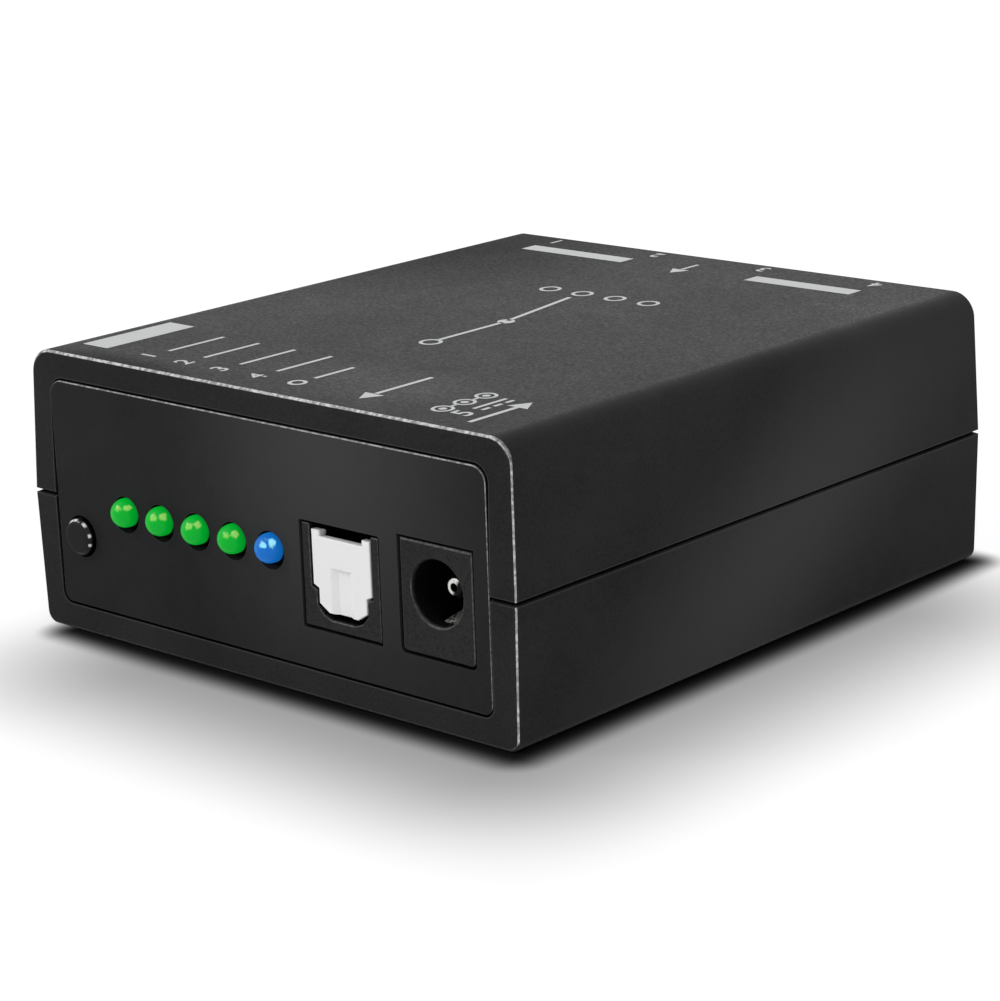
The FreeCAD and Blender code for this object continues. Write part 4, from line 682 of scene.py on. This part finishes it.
def add_lamp_marks():
    """A leader line behind each lamp, with a number at its front end, or a ring at the last lamp."""
    line_front = -30.4
    for place, x in enumerate(LAMPS_X, 1):
        numbered = place < len(LAMPS_X)
        length = 7.6 if numbered else 5.4
        add_bar(f"lamp_line_{place}", x + 0.15 * MM, (line_front + length / 2) * MM, 0.5 * MM, length * MM)
        if numbered:
            add_numeral(f"lamp_number_{place}", str(place), x, -32.9 * MM, 2.1 * MM, FRONT_READING)
        else:
            add_ring("auto_lamp_ring", x, -32.6 * MM, 1.0 * MM, 0.42 * MM)


def add_polarity_sign(x):
    """Three ringed dots in a row, joined by two leads, that tell the plug's polarity."""
    for name, y in (("plus", -32.2), ("middle", -29.2), ("minus", -26.2)):
        add_ring(f"polarity_{name}_ring", x, y * MM, 1.15 * MM, 0.36 * MM)
        add_disc(f"polarity_{name}_dot", x, y * MM, 0.42 * MM, 16)
    for name, y in (("plus", -30.7), ("minus", -27.7)):
        add_bar(f"polarity_{name}_lead", x, y * MM, 0.36 * MM, 0.9 * MM)


def add_supply_volts(x):
    """The supply's voltage and the sign for direct current, a line beside three dashes."""
    stroke = 0.45 * MM
    add_numeral("supply_volts", "5", x, -32.4 * MM, 2.3 * MM, FRONT_READING)
    add_bar("direct_current_line", x - 0.45 * MM, -28.3 * MM, stroke, 4.6 * MM)
    for place in range(3):
        y = (-29.95 + 1.65 * place) * MM
        add_bar(f"direct_current_dash_{place + 1}", x + 0.55 * MM, y, stroke, 1.1 * MM)


def add_front_marks():
    """Marks behind the lamps, a plate behind the button, an arrow at the output and signs at the inlet."""
    add_lamp_marks()
    add_bar("button_plate", -27.6 * MM, -27.15 * MM, 3.8 * MM, 12.1 * MM)
    add_bar("output_arrow_shaft", OUTPUT_X, -27.6 * MM, SHAFT, 7.8 * MM)
    add_arrow_head("output_arrow_head", OUTPUT_X, -32.4 * MM, POINT_FRONT)
    add_polarity_sign(20.3 * MM)
    add_supply_volts(23.1 * MM)
    arrow_x = 25.7 * MM
    add_bar("supply_arrow_shaft", arrow_x, -31.2 * MM, SHAFT, 6.6 * MM)
    add_arrow_head("supply_arrow_head", arrow_x, -27.2 * MM, POINT_BACK)


def add_selector_diagram():
    """Four inputs, a switch arm and one output, drawn where the middle of the lid carries print."""
    line_x = 0.3 * MM
    ring = (1.25 * MM, 0.42 * MM)
    for place in range(4):
        add_ring(f"diagram_input_{place + 1}", (-6.6 + 4.6 * place) * MM, 14.0 * MM, *ring)
    add_disc("diagram_pivot", line_x, -1.0 * MM, 0.95 * MM)
    add_bar("diagram_arm", -0.85 * MM, 5.6 * MM, SHAFT, 12.6 * MM, -0.17)
    add_bar("diagram_output_line", line_x, -6.4 * MM, SHAFT, 9.6 * MM)
    add_ring("diagram_output", line_x, -12.5 * MM, *ring)


def add_rear_marks():
    """Numbers at the input ports, and two blank bands with an arrow between them."""
    for place, x in enumerate(PORTS_X, 1):
        add_numeral(f"port_number_{place}", str(place), x, 35.0 * MM, 2.0 * MM, REAR_READING)
    add_bar("rear_band_left", -17.0 * MM, 30.7 * MM, 15.0 * MM, 2.4 * MM)
    add_bar("rear_band_right", 15.3 * MM, 30.4 * MM, 14.0 * MM, 2.4 * MM)
    arrow_x = -1.1 * MM
    add_bar("rear_arrow_shaft", arrow_x, 31.6 * MM, 0.45 * MM, 3.0 * MM)
    add_arrow_head("rear_arrow_head", arrow_x, 29.3 * MM, POINT_FRONT, 1.35 * MM)


def add_rating_label():
    """A blank film with rounded corners in the shallow recess of the underside."""
    deselect_all()
    bpy.ops.mesh.primitive_plane_add(size=1)
    film = shape_piece("rating_label", (41.2 * MM, 21.2 * MM, 1), move=(0, 16 * MM, 0.2 * MM))
    select_mesh()
    bpy.ops.mesh.bevel(offset=1.6 * MM, segments=6, affect="VERTICES")
    bpy.ops.object.mode_set(mode="OBJECT")
    thickness = film.modifiers.new("thickness", "SOLIDIFY")
    thickness.thickness = 0.12 * MM
    thickness.offset = 0.0
    bpy.ops.object.modifier_apply(modifier="thickness")
    dress(film, LABEL_FILM)
    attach(film, "case")


add_front_marks()
add_selector_diagram()
add_rear_marks()
add_rating_label()

# Floor, light and camera
FLOOR_SIZE = 12
# The broad shadow along each axis: its middle, half its breadth, and the blur on either side of its ends
BROAD_SHADOW = {"X": (10.5 * MM, 36.3 * MM, 14.7 * MM), "Y": (-12.2 * MM, 41 * MM, 13.9 * MM)}
# The narrow shadow along each axis: its middle and half its breadth
NARROW_SHADOW = {"X": (2.3 * MM, 30.6 * MM), "Y": (-0.7 * MM, 37 * MM)}


def blurred_span(tree, place, origin, half, blur):
    """1 inside a span and 0 outside it, with a smooth fade over the blur on either side of its ends."""
    off = distance_along(tree, place, origin)
    return remap(tree, off, half - blur, half + blur, 1.0, 0.0, smooth=True)


def draw_shade(tree):
    """How light the floor is under its two shadows, drawn as brightness and turned into light."""
    parts = split_axes(tree, object_place(tree))
    broad = multiply(tree, *[blurred_span(tree, parts[axis], *span) for axis, span in BROAD_SHADOW.items()])
    squares = []
    for axis, (origin, half) in NARROW_SHADOW.items():
        off = distance_along(tree, parts[axis], origin)
        outside = calculate(tree, "MAXIMUM", calculate(tree, "SUBTRACT", off, half), 0.0)
        squares.append(multiply(tree, outside, outside))
    reach = calculate(tree, "SQRT", calculate(tree, "ADD", *squares))
    narrow = remap(tree, reach, -0.6 * MM, 4.8 * MM, smooth=True)
    level = multiply(tree, remap(tree, broad, 0.0, 1.0, 1.0, 0.61), narrow)
    return calculate(tree, "POWER", level, 2.2)


def add_floor():
    """A white floor that the camera sees with a broad soft shadow and a narrow black one under the box.

    It lies just below the box, and from below the camera looks through it.
    """
    deselect_all()
    bpy.ops.mesh.primitive_plane_add(size=FLOOR_SIZE)
    floor = shape_piece("floor", move=(0, 0, -0.05 * MM))
    finish, tree, shader = new_finish("white_floor")
    shade = draw_shade(tree)
    seen = add_node(tree, "ShaderNodeLightPath").outputs["Is Camera Ray"]
    seen_colour = blend_colours(tree, shade, opaque(grey(0.0)), opaque(grey(0.15)))
    tree.links.new(blend_colours(tree, seen, opaque(grey(0.97)), seen_colour), shader.inputs["Base Color"])
    tree.links.new(multiply(tree, shade, 0.9, seen), shader.inputs["Emission Strength"])
    shader.inputs["Emission Color"].default_value = opaque(grey(1.0))
    shader.inputs["Roughness"].default_value = 0.9
    shader.inputs["Specular IOR Level"].default_value = 0.1
    from_below = multiply(tree, add_node(tree, "ShaderNodeNewGeometry").outputs["Backfacing"], seen)
    clear = add_node(tree, "ShaderNodeBsdfTransparent").outputs[0]
    either = add_node(tree, "ShaderNodeMixShader", {0: from_below, 1: shader.outputs[0], 2: clear})
    tree.links.new(either.outputs[0], tree.nodes["Material Output"].inputs["Surface"])
    dress(floor, finish)


def light_world():
    """A white room that is seen at full strength and lights at half of it."""
    world = bpy.data.worlds.new("white_room")
    world.use_nodes = True
    tree = world.node_tree
    backdrop = tree.nodes["Background"]
    rays = add_node(tree, "ShaderNodeLightPath").outputs
    seen = calculate(tree, "ADD", rays["Is Camera Ray"], rays["Is Glossy Ray"])
    seen = calculate(tree, "ADD", seen, rays["Is Transmission Ray"], clamp=True)
    backdrop.inputs["Color"].default_value = opaque(grey(1.0))
    tree.links.new(remap(tree, seen, 0.0, 1.0, 0.5, 1.0), backdrop.inputs["Strength"])
    bpy.context.scene.world = world


def add_lamp(name, direction, strength, breadth):
    """A distant lamp that shines from the given direction, with its breadth in degrees."""
    data = bpy.data.lights.new(name, "SUN")
    data.energy = strength
    data.angle = math.radians(breadth)
    lamp = bpy.data.objects.new(name, data)
    lamp.rotation_euler = Vector(direction).to_track_quat("Z", "Y").to_euler()
    bpy.context.scene.collection.objects.link(lamp)


def add_camera():
    """The photo's camera, solved from the outline of the case."""
    data = bpy.data.cameras.new("photo_view")
    data.lens = 106.95
    data.clip_start = 0.01
    camera = bpy.data.objects.new("photo_view", data)
    camera.location = (0.20393, -0.22588, 0.09633)
    camera.rotation_euler = [math.radians(angle) for angle in (74.1475, 1.9023, 41.8639)]
    bpy.context.scene.collection.objects.link(camera)
    bpy.context.scene.camera = camera


add_floor()
light_world()
add_lamp("left_lamp", (-0.599, -0.482, 0.639), 0.9, 14)
add_lamp("right_lamp", (0.361, -0.284, 0.888), 0.55, 14)
add_camera()
bpy.context.scene.view_settings.view_transform = "Standard"
